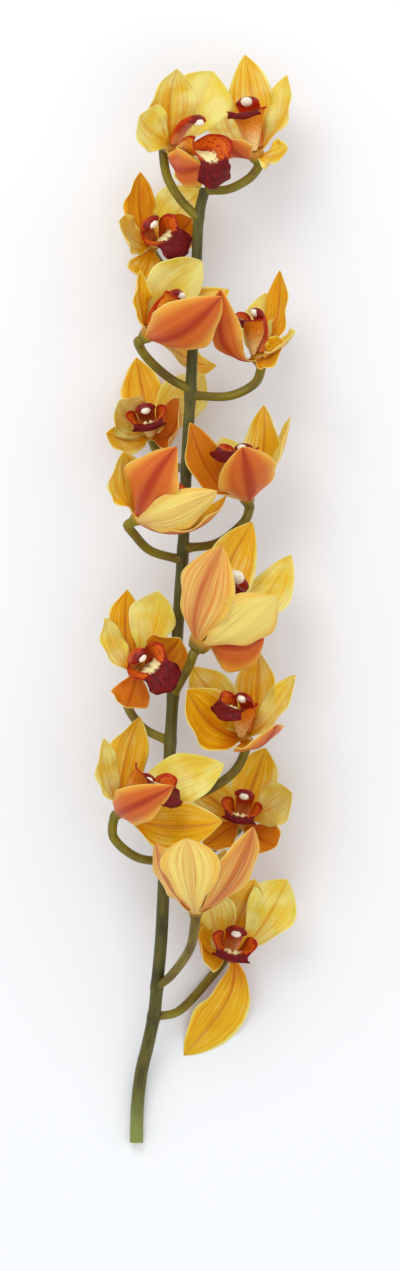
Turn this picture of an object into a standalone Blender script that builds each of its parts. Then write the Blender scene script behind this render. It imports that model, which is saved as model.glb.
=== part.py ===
"""A cut cymbidium orchid stem lying on a surface: one green stem with its flower stalks, and fifteen blooms.

+Y runs along the stem from its cut end to its tip, +X is to the right seen from above, and +Z is up.
Each bloom has five tepals (three sepals and two petals) on one seat, a three-lobed lip and an arched column.
"""

import math
from collections import namedtuple

import bmesh
import bpy
import numpy as np
from mathutils import Matrix, Vector

MM = 0.001

# The plan of the spray is laid out on the reference picture: one picture pixel is this long on the object.
PIXEL = 0.58 * MM
PLAN_X = 197.362
PLAN_Y = 600.06

# Stem and flower stalks.
STEM_RADIUS_FOOT = 3.9 * MM
STEM_RADIUS_TIP = 3.0 * MM
STALK_RADIUS_NODE = 2.5 * MM
STALK_RADIUS_SEAT = 2.9 * MM
STEM_SIDES = 8
STALK_SIDES = 6
STEM_RINGS = 20
STALK_RINGS = 6
BRACT_LENGTH = 8 * MM
BRACT_HALF_WIDTH = 3.6 * MM
BRACT_DROP = 3.2 * MM
BRACT_OUT = 1.0 * MM
BRACT_UPWARD = 0.9
STALK_NECK = 3 * MM

# Blades: tepals and lip.
BLADE_THICKNESS = 0.8 * MM
REST_HEIGHT = 0.5 * BLADE_THICKNESS
SEPAL_HALF_WIDTH = 14.5 * MM
PETAL_HALF_WIDTH = 14.0 * MM
ROOT_HALF_WIDTH = 3.4 * MM
ROOT_SHARE = 0.3
TIP_HALF_WIDTH = 1.2 * MM
ROOT_REACH = 2.2 * MM
ROOT_STEP = 0.8 * MM
PETAL_LIFT = 0.5
SEPAL_LIFT = 0.12
START_LEAN = 0.45
END_REACH = 0.36
ROOT_FOLD = 0.25
SHOW_SHARE = 0.35
TURN_STEPS = 12
PETAL_ANGLE = 65
SEPAL_ANGLE = 128
RIPPLE = 0.05
RIPPLE_STEP = 1.7
RIPPLE_WAVES = 7.5
RIPPLE_SHIFT = 9.0
UPWARD = np.array([0.0, 0.0, 1.0])
BRACT_SHAPE = (1.0, 0.2, 0.7)
BRACT_LIFT = 0.3

# Seat: the short swollen end of the ovary that carries the tepals.
SEAT_RADIUS = 4.4 * MM
SEAT_BACK = 3.2 * MM
SEAT_FRONT = 3.6 * MM
FIT_GAP = 0.35 * MM
SEAT_SIDES = 6
TEPAL_ROWS = 5
TEPAL_COLUMNS = 2

# Lip: a trough round the column, then a broad lobe that turns down.
LIP_LENGTH = 44 * MM
LIP_ROWS = 6
LIP_COLUMNS = 4
LIP_SAMPLES = 200
LEAST_FOLD = 0.05
LIP_DROP = 3.4 * MM
LOBE_REACH = 4.5 * MM
LOBE_STATION = 0.42
LOBE_SPAN = 0.12
LOBE_FLARE = 4.0 * MM
FLARE_STATION = 0.50
FLARE_SPAN = 0.08
CURL_STATION = 0.6
LIP_STATIONS = (0.0, 0.16, 0.32, 0.44, 0.56, 0.66, 0.80, 0.92, 1.0)
LIP_HALF_WIDTHS = (3.0, 8.5, 15.0, 16.0, 11.0, 9.0, 12.0, 10.0, 2.5)
LIP_FOLDS = (1.1, 1.7, 2.0, 1.95, 0.9, 0.1, -0.35, -0.5, -0.5)
LIP_HEADINGS = (0.20, 0.20, 0.22, 0.30, 0.62, 1.05, 1.65, 2.10, 2.35)

# Column: an arched club with the anther cap on its end.
COLUMN_LENGTH = 26.5 * MM
COLUMN_RISE = 1.5 * MM
COLUMN_HALF_WIDTH_FOOT = 4.2 * MM
COLUMN_HALF_WIDTH_HEAD = 6.5 * MM
COLUMN_DEPTH = 3.4 * MM
COLUMN_HEADING_FOOT = 0.80
COLUMN_HEADING_HEAD = -0.50
COLUMN_STEPS = 60
COLUMN_TAPER = 1.2
COLUMN_END = 0.92
CAP_RADIUS = 2.6 * MM
CAP_SINK = 1.3 * MM

STEM_COLOUR = (0.13, 0.14, 0.015)
TEPAL_COLOUR = (0.80, 0.43, 0.03)
LIP_COLOUR = (0.22, 0.008, 0.012)
COLUMN_COLOUR = (0.50, 0.04, 0.01)
COLUMN_SIDES = 6
COLUMN_RINGS = 3

Tepal = namedtuple("Tepal", "x y z width hook cup show spread around belly",
                   defaults=(1.0, 0.35, 0.45, 0.0, 0.34, None, 1.2))
Bloom = namedtuple("Bloom", "name x y z size face up stalk dorsal left_petal right_petal left_sepal"
                            " right_sepal column lip lip_size curl front", defaults=(0.0, 0.0, 1.0, 0.0, 1.0))

# Centre line of the stem: picture x, picture y, height in millimetres.
STEM_LINE = (
    (136, 1146, 3.9), (137, 1110, 5), (141, 1075, 9), (148, 1045, 16), (154, 1015, 25),
    (157, 985, 33), (161, 940, 42), (163, 900, 47), (165, 850, 50), (167, 800, 51),
    (170, 745, 51), (173, 695, 51), (177, 640, 51), (180, 590, 51), (183, 548, 51),
    (185, 500, 51), (187, 450, 51), (190, 400, 51), (193, 340, 51), (196, 290, 51),
    (197, 250, 51), (199, 215, 51), (205, 188, 51),
)

# Each bloom: its seat (picture x, picture y, height in mm) and size, its facing and up directions, the way of
# its stalk, its five tepals, then how far its column tilts up and its lip tilts down in radians, the size
# of its lip, the extra curl of its front lobe and how long that lobe is.
# Each tepal: its tip in the same kind of coordinates, then its width, the hook of its end, how much it is
# cupped, how much it turns its inner (plus) or outer (minus) face upward, how far it spreads before it bends
# over, the angle of its root round the bloom's facing direction and how far out it is widest.
BLOOMS = (
    Bloom("bloom_01", 171, 148, 60, 1.05, (0.66, 0.1, 0.75), (-0.1, 0.95, 0.0),
          ((198, 217, 51), (181, 200, 52), (167, 176, 54)),
          Tepal(177, 71, 84, 1.05, show=0.4, belly=1.0), Tepal(140, 118, 98, show=0.3, belly=1.4),
          Tepal(213, 71, 50, 1.3, show=0.3, belly=1.8),
          Tepal(202, 168, 90, 0.95, 0.5, 0.4, -0.5, 0.5, 150), Tepal(199, 190, 66, 0.7),
          0.25, 0.0, 1.1, 0.0, 0.85),
    Bloom("bloom_02", 256, 155, 50, 1.15, (-0.23, 0.86, 0.45), (0.15, 0.5, -0.85),
          ((205, 190, 51), (228, 189, 50), (249, 178, 47)),
          Tepal(245, 54, 40, 0.85), Tepal(222, 92, 0, 0.9), Tepal(287, 75, 50, 0.85, belly=1.6),
          Tepal(224, 138, 70, 0.7, 0.4, show=-0.4), Tepal(288, 149, 68, 0.65, show=0.4), 0.15, -0.4,
          0.78, 1.5, 0.4),
    Bloom("bloom_03", 152, 243, 20, 1.0, (0.16, 0.28, 0.95), (-0.7, 0.7, -0.1),
          ((196, 290, 50), (182, 286, 36), (160, 262, 14)),
          Tepal(140, 171, 34, 0.72, belly=1.0), Tepal(119, 221, 50, 0.9), Tepal(202, 188, 12, 1.15),
          Tepal(142, 277, 58, 0.85, 0.6), Tepal(192, 218, 42, 0.9, show=0.5), 0.0, -0.15, 0.92),
    Bloom("bloom_04", 147, 336, 78, 1.1, (0.72, 0.68, 0.22), (-0.6, 0.6, -0.4),
          ((191, 390, 51), (168, 377, 56), (147, 358, 66)),
          Tepal(202, 262, 68, 1.1, show=0.4, belly=1.7), Tepal(141, 272, 88, 0.7, show=0.4),
          Tepal(229, 290, 57, 0.8), Tepal(221, 299, 108, 1.25, 0.5, 0.45, -0.2, 0.45, 150, 0.95),
          Tepal(216, 364, 12, 0.7, 0.35, 0.45, 0.3, 0.5, -95), -0.1, -0.3, 0.85),
    Bloom("bloom_05", 258, 358, 52, 1.0, (-0.3, 0.85, 0.45), (0.75, 0.3, -0.5),
          ((190, 395, 51), (228, 396, 50), (254, 384, 49)),
          Tepal(280, 270, 44, 0.7), Tepal(266, 292, 34, 0.75), Tepal(290, 338, 86, 0.85, belly=1.5),
          Tepal(221, 291, 84, 0.9, 0.6, 0.45, -0.3, 0.5, 175),
          Tepal(283, 341, 80, 0.75, show=0.5, around=-112), 0.1, -0.35, 0.85, 0.6),
    Bloom("bloom_06", 150, 432, 13, 1.0, (-0.05, 0.25, 0.96), (-0.2, 0.95, -0.3),
          ((187, 468, 50), (175, 466, 34), (158, 452, 9)),
          Tepal(136, 356, 0, 0.9, belly=1.0), Tepal(119, 400, 40, show=0.4), Tepal(204, 373, 14, 1.1),
          Tepal(106, 433, 36, 0.7, show=0.5), Tepal(179, 398, 38, 1.0, 0.5, 0.7, 0.2, 0.5, -150), 0.05,
          -0.35, 0.9, 2.0, 0.45),
    Bloom("bloom_07", 137, 519, 75, 1.0, (0.78, 0.58, 0.2), (-0.5, 0.7, -0.3),
          ((183, 560, 51), (151, 551, 56), (133, 533, 68)),
          Tepal(124, 452, 92, show=0.5), Tepal(177, 448, 104, 1.3, 0.35, 0.45, -0.8, 0.6, 92, 0.7),
          Tepal(168, 462, 60, 0.8), Tepal(217, 492, 100, 0.85, 0.35, 0.45, -0.4, 0.45),
          Tepal(226, 496, 66, 1.2, 0.8, 0.45, 0.0, 0.55, 175), 0.0, -0.25),
    Bloom("bloom_08", 247, 498, 52, 1.08, (-0.2, 0.88, 0.38), (0.5, 0.5, -0.6),
          ((185, 548, 51), (217, 543, 50), (243, 523, 49)),
          Tepal(264, 405, 46, 0.9, belly=1.0), Tepal(222, 437, 40), Tepal(290, 417, 62),
          Tepal(190, 423, 62, 0.85, show=0.5), Tepal(242, 448, 100, 1.15), 0.0, -0.25, 0.95, 0.9, 0.65),
    Bloom("bloom_09", 200, 643, 84, 1.58, (0.5, 0.85, 0.05), (-0.1, 0.1, -0.95),
          ((174, 694, 51), (181, 681, 60), (190, 664, 76)),
          Tepal(252, 522, 60, 0.8, around=10), Tepal(264, 637, 66, 0.85, show=-0.8, around=-95),
          Tepal(291, 555, 40, 0.8, 0.35, 0.15, around=-65),
          Tepal(222, 547, 110, 0.9, 0.35, 0.45, -0.1, 0.4, 140),
          Tepal(276, 597, 104, 0.87, 0.35, 0.4, -0.2, 0.4, -160, 1.5), 0.0, -0.38, 0.66),
    Bloom("bloom_10", 138, 668, 46, 1.0, (0.1, 0.2, 0.97), (-0.7, 0.7, -0.1),
          ((171, 742, 50), (142, 727, 44), (126, 700, 34)),
          Tepal(127, 590, 54, 0.8, show=0.3, belly=1.0), Tepal(105, 618, 60, 0.65),
          Tepal(158, 591, 64, 1.0, show=0.3, belly=1.5), Tepal(126, 707, 70, 0.8, 0.8),
          Tepal(180, 638, 72, 1.05, show=1.0), -0.2, -0.05),
    Bloom("bloom_11", 245, 737, 52, 1.0, (-0.25, 0.6, 0.75), (0.5, 0.75, -0.3),
          ((167, 798, 51), (200, 794, 47), (234, 772, 40)),
          Tepal(258, 651, 56), Tepal(192, 667, 56, show=0.3), Tepal(295, 675, 74),
          Tepal(187, 690, 76, 1.35, show=0.4, belly=1.0), Tepal(276, 724, 98, 1.1, 0.6, around=-150), 0.15,
          -0.4, 0.95, 0.5, 0.75),
    Bloom("bloom_12", 121, 811, 62, 1.0, (0.6, 0.58, 0.55), (-0.1, 0.8, -0.5),
          ((164, 862, 50), (136, 857, 52), (114, 838, 55)),
          Tepal(140, 717, 54), Tepal(104, 738, 88, 0.8, show=0.3),
          Tepal(224, 764, 64, 1.1, 0.2, 0.3, 0.2, 0.4, -45, 1.3),
          Tepal(173, 785, 110, 0.85, 0.35, 0.45, -0.3, 0.42, belly=0.9), Tepal(222, 821, 76, 1.1, show=0.6),
          -0.1, -0.2, 1.15),
    Bloom("bloom_13", 242, 823, 14, 1.0, (0.0, 0.35, 0.93), (0.2, 0.9, -0.3),
          ((164, 868, 49), (188, 862, 30), (222, 844, 10)),
          Tepal(266, 749, 0), Tepal(190, 782, 36, show=0.3), Tepal(292, 793, 46, show=0.3, belly=1.5),
          Tepal(204, 846, 38, 0.8), Tepal(277, 846, 48, 0.9, show=0.3), 0.05, -0.15, 0.9, 1.8, 0.45),
    Bloom("bloom_14", 196, 912, 80, 1.0, (0.1, 0.97, 0.1), (-0.1, -0.1, 1),
          ((156, 988, 32), (172, 975, 44), (190, 948, 66)),
          Tepal(187, 837, 106, 1.3, belly=1.9), Tepal(253, 826, 92, 1.0, 0.35, 0.15, -0.4),
          Tepal(156, 842, 84, show=-0.4), Tepal(225, 850, 50), Tepal(178, 848, 50), -0.4, 0.1),
    Bloom("bloom_15", 229, 955, 13, 1.05, (0.1, 0.2, 0.97), (0.2, 0.9, -0.2),
          ((154, 1018, 24), (180, 1012, 14), (212, 978, 3.5)),
          Tepal(255, 880, 30), Tepal(210, 888, 36, show=0.3), Tepal(287, 880, 36, 1.1, show=0.3, belly=1.7),
          Tepal(198, 936, 44), Tepal(184, 1058, -3), 0.05, -0.2, 0.95, 1.8, 0.45),
)


# Small helpers.


def spot(x, y, height):
    """World position of a point given by its place in the picture and its height in millimetres."""
    return np.array([(x - PLAN_X) * PIXEL, (PLAN_Y - y) * PIXEL, height * MM])


def unit(vector):
    vector = np.asarray(vector, dtype=float)
    return vector / np.linalg.norm(vector)


def smooth_line(points, samples):
    """Points spread evenly by parameter along a Catmull-Rom curve through the given points."""
    points = np.asarray(points, dtype=float)
    padded = np.vstack([2 * points[0] - points[1], points, 2 * points[-1] - points[-2]])
    last = len(points) - 1
    line = []
    for step in np.linspace(0, last, samples):
        index = min(int(step), last - 1)
        part = step - index
        before, start, end, after = padded[index:index + 4]
        line.append(0.5 * (2 * start + (end - before) * part
                           + (2 * before - 5 * start + 4 * end - after) * part ** 2
                           + (3 * start - before - 3 * end + after) * part ** 3))
    return np.array(line)


def tangents(line):
    steps = np.gradient(line, axis=0)
    return steps / np.linalg.norm(steps, axis=1)[:, None]


def bloom_axes(bloom):
    """Facing, up and right directions of a bloom, right as seen by somebody looking into it."""
    face = unit(bloom.face)
    up = np.asarray(bloom.up, dtype=float)
    up = unit(up - np.dot(up, face) * face)
    return face, up, np.cross(up, face)


# Grids: every blade is first a sheet of rows and columns, then a thin solid.


def sheet_normals(grid):
    along = np.gradient(grid, axis=0)
    across = np.gradient(grid, axis=1)
    normals = np.cross(along, across)
    length = np.linalg.norm(normals, axis=2)[:, :, None]
    return normals / np.maximum(length, 1e-12)


def tepal_width(share, belly):
    """Half width of a tepal as a share of its greatest half width; a greater belly moves it outward."""
    return np.sin(np.pi * share ** belly) ** 0.8


def tepal_grid(root, outward, face, lift, tip, half_width, tepal, rows, columns, ripple=0.0):
    """Middle sheet of a tepal, from the seat outward and over to its tip; its front is the inner face."""
    chord = tip - root
    length = np.linalg.norm(chord)
    along = chord / length
    inward = face - outward
    inward = unit(inward - np.dot(inward, along) * along)
    start = unit(outward + lift * face + START_LEAN * along)
    end = along * math.cos(tepal.hook) + inward * math.sin(tepal.hook)
    first = root + start * length * tepal.spread
    second = tip - end * length * END_REACH
    share = np.linspace(0, 1, rows + 1)
    across = np.linspace(-1, 1, columns + 1)
    grid = np.zeros((rows + 1, columns + 1, 3))
    inner = face
    done = 0.0
    for row, t in enumerate(share):
        for step in np.linspace(done, t, TURN_STEPS):
            heading = (3 * (1 - step) ** 2 * (first - root) + 6 * step * (1 - step) * (second - first)
                       + 3 * step ** 2 * (tip - second))
            heading = unit(heading)
            inner = unit(inner - np.dot(inner, heading) * heading)
        done = t
        middle = ((1 - t) ** 3 * root + 3 * t * (1 - t) ** 2 * first
                  + 3 * t ** 2 * (1 - t) * second + t ** 3 * tip)
        viewed = UPWARD - np.dot(UPWARD, heading) * heading
        turned = min(t / SHOW_SHARE, 1.0) * tepal.show
        facing = unit(inner * (1 - abs(turned)) + unit(viewed) * turned)
        side = np.cross(heading, facing)
        width = max(half_width * tepal_width(t, tepal.belly), TIP_HALF_WIDTH,
                    ROOT_HALF_WIDTH * (1 - t / ROOT_SHARE))
        fold = tepal.cup + ROOT_FOLD * (1 - t) ** 3
        arc = fold * across
        sideways = width * np.sin(arc) / fold
        forward = width * (1 - np.cos(arc)) / fold
        wave = math.sin(RIPPLE_WAVES * t + RIPPLE_SHIFT * ripple)
        forward = forward + ripple * width * np.abs(across) ** 3 * wave
        grid[row] = middle + sideways[:, None] * side + forward[:, None] * facing
    grid[:, :, 2] = np.maximum(grid[:, :, 2], REST_HEIGHT)
    return grid


def lip_grid(bloom, rows, columns):
    """Middle sheet of the lip; the front is the upper, inner face."""
    face, up, right = bloom_axes(bloom)
    seat = spot(bloom.x, bloom.y, bloom.z)
    size = bloom.size
    lip_size = size * bloom.lip_size
    fine = np.linspace(0, 1, LIP_SAMPLES)
    heading = np.interp(fine, LIP_STATIONS, LIP_HEADINGS) + bloom.lip
    heading = heading + bloom.curl * np.maximum(fine - CURL_STATION, 0.0) / (1 - CURL_STATION)
    step = LIP_LENGTH * lip_size / (LIP_SAMPLES - 1) * np.where(fine[:-1] > CURL_STATION, bloom.front, 1.0)
    forward = np.concatenate([[0], np.cumsum(np.cos(heading[:-1]) * step)])
    rise = np.concatenate([[0], np.cumsum(-np.sin(heading[:-1]) * step)])
    share = np.linspace(0, 1, rows + 1)
    across = np.linspace(-1, 1, columns + 1)
    grid = np.zeros((rows + 1, columns + 1, 3))
    for row, t in enumerate(share):
        width = np.interp(t, LIP_STATIONS, LIP_HALF_WIDTHS) * MM * lip_size
        fold = np.interp(t, LIP_STATIONS, LIP_FOLDS)
        if abs(fold) < LEAST_FOLD:
            fold = LEAST_FOLD
        angle = np.interp(t, fine, heading)
        along = face * math.cos(angle) - up * math.sin(angle)
        above = up * math.cos(angle) + face * math.sin(angle)
        middle = (seat + face * (SEAT_FRONT * size + FIT_GAP + 0.5 * BLADE_THICKNESS
                                 + np.interp(t, fine, forward))
                  + up * (np.interp(t, fine, rise) - LIP_DROP * size))
        arc = fold * across
        sideways = width * np.sin(arc) / fold
        lift = width * (1 - np.cos(arc)) / fold
        lobe = across ** 4 * math.exp(-((t - LOBE_STATION) / LOBE_SPAN) ** 2) * lip_size
        flare = LOBE_FLARE * lip_size * across ** 3 * math.exp(-((t - FLARE_STATION) / FLARE_SPAN) ** 2)
        grid[row] = (middle + (sideways + flare)[:, None] * right + lift[:, None] * above
                     + (LOBE_REACH * lobe)[:, None] * along)
    grid[:, :, 2] = np.maximum(grid[:, :, 2], REST_HEIGHT)
    return grid


def blade_solid(grid, thickness=BLADE_THICKNESS):
    """Closed solid on both sides of a sheet, split alike on both faces; where it rests it lies flat."""
    normals = sheet_normals(grid)
    resting = grid[:, :, 2] <= REST_HEIGHT + 1e-9
    normals[resting] = np.sign(normals[resting][:, 2:3]) * np.array([0.0, 0.0, 1.0])
    rows, columns = grid.shape[0], grid.shape[1]
    front = (grid + normals * thickness / 2).reshape(-1, 3)
    back = (grid - normals * thickness / 2).reshape(-1, 3)
    points = np.vstack([front, back])
    count = rows * columns
    faces = []
    for row in range(rows - 1):
        for column in range(columns - 1):
            a = row * columns + column
            b = a + 1
            c = a + columns + 1
            d = a + columns
            if column < (columns - 1) / 2:
                split = ((a, d, c), (a, c, b))
            else:
                split = ((a, d, b), (b, d, c))
            for first, second, third in split:
                faces.append((first, second, third))
                faces.append((first + count, third + count, second + count))
    border = list(range(columns))
    border += [row * columns + columns - 1 for row in range(1, rows)]
    border += [(rows - 1) * columns + column for column in range(columns - 2, -1, -1)]
    border += [row * columns for row in range(rows - 2, 0, -1)]
    for index, first in enumerate(border):
        second = border[(index + 1) % len(border)]
        faces.append((first, second, second + count))
        faces.append((first, second + count, first + count))
    points[:, 2] = np.maximum(points[:, 2], 0.0)
    return points, faces


def tube_solid(line, radii, sides, flats=None, up=(0, 0, 1), first_heading=None, last_heading=None):
    """Closed tube along a line; flats gives each ring's (width, above, below) scale when it is not round."""
    line = np.asarray(line, dtype=float)
    headings = tangents(line)
    if first_heading is not None:
        headings[0] = first_heading
    if last_heading is not None:
        headings[-1] = last_heading
    reference = np.asarray(up, dtype=float)
    points = []
    for index, centre in enumerate(line):
        heading = headings[index]
        upward = reference - np.dot(reference, heading) * heading
        upward = unit(upward)
        reference = upward
        sideways = np.cross(heading, upward)
        for side in range(sides):
            angle = 2 * math.pi * side / sides
            width = math.sin(angle)
            height = math.cos(angle)
            if flats is not None:
                wide, above, below = flats[index]
                width *= wide
                height *= above if height > 0 else below
            points.append(centre + radii[index] * (width * sideways + height * upward))
    points.append(line[0])
    points.append(line[-1])
    last = len(line) - 1
    foot = len(points) - 2
    head = len(points) - 1
    faces = []
    for ring in range(last):
        for side in range(sides):
            a = ring * sides + side
            b = ring * sides + (side + 1) % sides
            c = b + sides
            d = a + sides
            faces.append((a, b, c))
            faces.append((a, c, d))
    for side in range(sides):
        following = (side + 1) % sides
        faces.append((foot, following, side))
        faces.append((head, last * sides + side, last * sides + following))
    return np.array(points), faces


# Pieces of a bloom.


def tepal_sheets(bloom, rows, columns):
    """Middle sheets of the five tepals in the order dorsal sepal, petals, lower sepals."""
    face, up, right = bloom_axes(bloom)
    seat = spot(bloom.x, bloom.y, bloom.z)
    plan = (
        (bloom.dorsal, 0, False),
        (bloom.left_petal, PETAL_ANGLE, True), (bloom.right_petal, -PETAL_ANGLE, True),
        (bloom.left_sepal, SEPAL_ANGLE, False), (bloom.right_sepal, -SEPAL_ANGLE, False),
    )
    sheets = []
    for number, (tepal, angle, petal) in enumerate(plan):
        turn = math.radians(angle if tepal.around is None else tepal.around)
        outward = up * math.cos(turn) - right * math.sin(turn)
        step = ROOT_STEP if petal else -ROOT_STEP
        root = seat + outward * ROOT_REACH + face * step
        tip = spot(tepal.x, tepal.y, tepal.z)
        half_width = (PETAL_HALF_WIDTH if petal else SEPAL_HALF_WIDTH) * tepal.width * bloom.size
        ripple = RIPPLE * math.sin(RIPPLE_STEP * number + bloom.x)
        lift = PETAL_LIFT if petal else SEPAL_LIFT
        sheets.append(tepal_grid(root, outward, face, lift, tip, half_width, tepal, rows, columns, ripple))
    return sheets


def seat_solid(bloom, sides):
    face, up, _ = bloom_axes(bloom)
    seat = spot(bloom.x, bloom.y, bloom.z)
    size = bloom.size
    stations = ((-SEAT_BACK, 0.72), (-SEAT_BACK * 0.4, 1.0), (SEAT_FRONT * 0.5, 1.0), (SEAT_FRONT, 0.72))
    line = [seat + face * distance * size for distance, _ in stations]
    radii = [SEAT_RADIUS * size * share for _, share in stations]
    return tube_solid(line, radii, sides, up=up)


def column_line(bloom, rings):
    """Centre line of the arched column from its foot, clear of the seat, to its head."""
    face, up, _ = bloom_axes(bloom)
    size = bloom.size
    foot = spot(bloom.x, bloom.y, bloom.z) + face * (SEAT_FRONT * size + FIT_GAP) + up * COLUMN_RISE * size
    line = [foot]
    step = COLUMN_LENGTH * size / COLUMN_STEPS
    for angle in np.linspace(COLUMN_HEADING_FOOT, COLUMN_HEADING_HEAD, COLUMN_STEPS) + bloom.column:
        line.append(line[-1] + step * (face * math.cos(angle) + up * math.sin(angle)))
    picks = np.round(np.linspace(0, COLUMN_STEPS, rings + 1)).astype(int)
    return np.array(line)[picks]


def column_solid(bloom, sides, rings):
    face, up, _ = bloom_axes(bloom)
    line = column_line(bloom, rings)
    share = np.linspace(0, 1, rings + 1)
    growth = COLUMN_HALF_WIDTH_HEAD - COLUMN_HALF_WIDTH_FOOT
    half_width = (COLUMN_HALF_WIDTH_FOOT + growth * share ** COLUMN_TAPER) * bloom.size
    half_width[-1] *= COLUMN_END
    depth = COLUMN_DEPTH / COLUMN_HALF_WIDTH_HEAD
    flats = [(1.0, depth * (1.25 - 0.1 * s), depth * 0.45) for s in share]
    return tube_solid(line, half_width, sides, flats, up, first_heading=face)


def cap_solid(bloom, sides, rings):
    """Anther cap: a small dome hanging over the column's end."""
    _, up, _ = bloom_axes(bloom)
    line = column_line(bloom, COLUMN_STEPS)
    end = line[-1]
    heading = unit(line[-1] - line[-4])
    above = unit(up - np.dot(up, heading) * heading)
    radius = CAP_RADIUS * bloom.size
    centre = end - heading * CAP_SINK - above * 0.5 * CAP_SINK
    stations = np.linspace(-1, 1, rings + 1)
    line = [centre + heading * radius * 1.05 * math.sin(0.5 * math.pi * s) for s in stations]
    radii = [radius * max(math.cos(0.5 * math.pi * s), 0.25) for s in stations]
    flats = [(1.15, 0.85, 0.8)] * len(radii)
    return tube_solid(line, radii, sides, flats, above)


def stalk_solid(bloom, sides, rings):
    face = bloom_axes(bloom)[0]
    end = spot(bloom.x, bloom.y, bloom.z) - face * (SEAT_BACK * bloom.size + FIT_GAP)
    points = [spot(*point) for point in bloom.stalk] + [end - face * STALK_NECK, end]
    line = smooth_line(points, rings + 1)
    share = np.linspace(0, 1, rings + 1)
    radii = STALK_RADIUS_NODE + (STALK_RADIUS_SEAT - STALK_RADIUS_NODE) * share
    return tube_solid(line, radii, sides, last_heading=face)


def stem_solid(sides, rings):
    line = smooth_line([spot(*point) for point in STEM_LINE], rings + 1)
    share = np.linspace(0, 1, rings + 1)
    radii = STEM_RADIUS_FOOT + (STEM_RADIUS_TIP - STEM_RADIUS_FOOT) * share
    return tube_solid(line, radii, sides)


def bract_solid(bloom):
    """Small scale leaf under the foot of a flower stalk."""
    foot = spot(*bloom.stalk[0])
    way = unit(spot(*bloom.stalk[1]) - foot)
    upward = np.array([0.0, 1.0, 0.0])
    outward = unit(way + BRACT_UPWARD * upward)
    root = foot - upward * BRACT_DROP + way * BRACT_OUT
    shape = Tepal(0, 0, 0, *BRACT_SHAPE)
    tip = root + outward * BRACT_LENGTH
    grid = tepal_grid(root, outward, upward, BRACT_LIFT, tip, BRACT_HALF_WIDTH, shape, 2, 2)
    return blade_solid(grid)


# Blender objects.


def clear_scene():
    for item in list(bpy.data.objects):
        bpy.data.objects.remove(item, do_unlink=True)


def make_object(name, solid, collection):
    points, faces = solid
    mesh = bpy.data.meshes.new(name)
    mesh.from_pydata([tuple(point) for point in points], [], [tuple(face) for face in faces])
    mesh.validate()
    item = bpy.data.objects.new(name, mesh)
    collection.objects.link(item)
    work = bmesh.new()
    work.from_mesh(mesh)
    bmesh.ops.recalc_face_normals(work, faces=work.faces)
    work.to_mesh(mesh)
    work.free()
    return item


def fuse(name, solids):
    """One object from several overlapping solids by a single union."""
    home = bpy.context.scene.collection
    base = make_object(name, solids[0], home)
    if len(solids) == 1:
        return base
    others = bpy.data.collections.new(name + "_others")
    home.children.link(others)
    for index, solid in enumerate(solids[1:]):
        make_object("%s_other_%d" % (name, index), solid, others)
    union = base.modifiers.new("union", "BOOLEAN")
    union.operation = "UNION"
    union.operand_type = "COLLECTION"
    union.collection = others
    union.solver = "EXACT"
    bpy.context.view_layer.objects.active = base
    base.select_set(True)
    bpy.ops.object.modifier_apply(modifier=union.name)
    base.select_set(False)
    for item in list(others.objects):
        bpy.data.objects.remove(item, do_unlink=True)
    bpy.data.collections.remove(others)
    return base


def paint(item, colour, roughness):
    material = bpy.data.materials.new(item.name)
    material.use_nodes = True
    shader = material.node_tree.nodes["Principled BSDF"]
    shader.inputs["Base Color"].default_value = (*colour, 1.0)
    shader.inputs["Roughness"].default_value = roughness
    shader.inputs["Metallic"].default_value = 0.0
    item.data.materials.clear()
    item.data.materials.append(material)


def set_origin(item, place):
    """Move an object's origin to a place and leave its shape where it is."""
    item.data.transform(Matrix.Translation(-Vector(place)))
    item.location = place


def build():
    clear_scene()
    stem_parts = [stem_solid(STEM_SIDES, STEM_RINGS)]
    for bloom in BLOOMS:
        stem_parts.append(stalk_solid(bloom, STALK_SIDES, STALK_RINGS))
        stem_parts.append(bract_solid(bloom))
    stem = fuse("stem", stem_parts)
    paint(stem, STEM_COLOUR, 0.5)
    set_origin(stem, spot(*STEM_LINE[0]))
    for bloom in BLOOMS:
        seat = spot(bloom.x, bloom.y, bloom.z)
        blades = [blade_solid(grid) for grid in tepal_sheets(bloom, TEPAL_ROWS, TEPAL_COLUMNS)]
        tepals = fuse(bloom.name + "_tepals", [seat_solid(bloom, SEAT_SIDES)] + blades)
        paint(tepals, TEPAL_COLOUR, 0.45)
        set_origin(tepals, seat)
        lip = fuse(bloom.name + "_lip", [blade_solid(lip_grid(bloom, LIP_ROWS, LIP_COLUMNS))])
        paint(lip, LIP_COLOUR, 0.45)
        set_origin(lip, seat)
        club = column_solid(bloom, COLUMN_SIDES, COLUMN_RINGS)
        column = fuse(bloom.name + "_column", [club, cap_solid(bloom, COLUMN_SIDES, COLUMN_RINGS)])
        paint(column, COLUMN_COLOUR, 0.4)
        set_origin(column, seat)


if __name__ == "__main__":
    build()
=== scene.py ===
"""Looks of a cut cymbidium orchid stem that lies on a surface, seen from straight above.

Every bloom's tepals, lip, column and anther cap, and the stem with its flower stalks and scale leaves, are
fine meshes on the same curves as the solids. Attributes on the meshes say how far along and across a blade a
point is, and which face it is on, and the materials draw veins, midribs, spots and edges from them.
"""

import math
from collections import namedtuple

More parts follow.
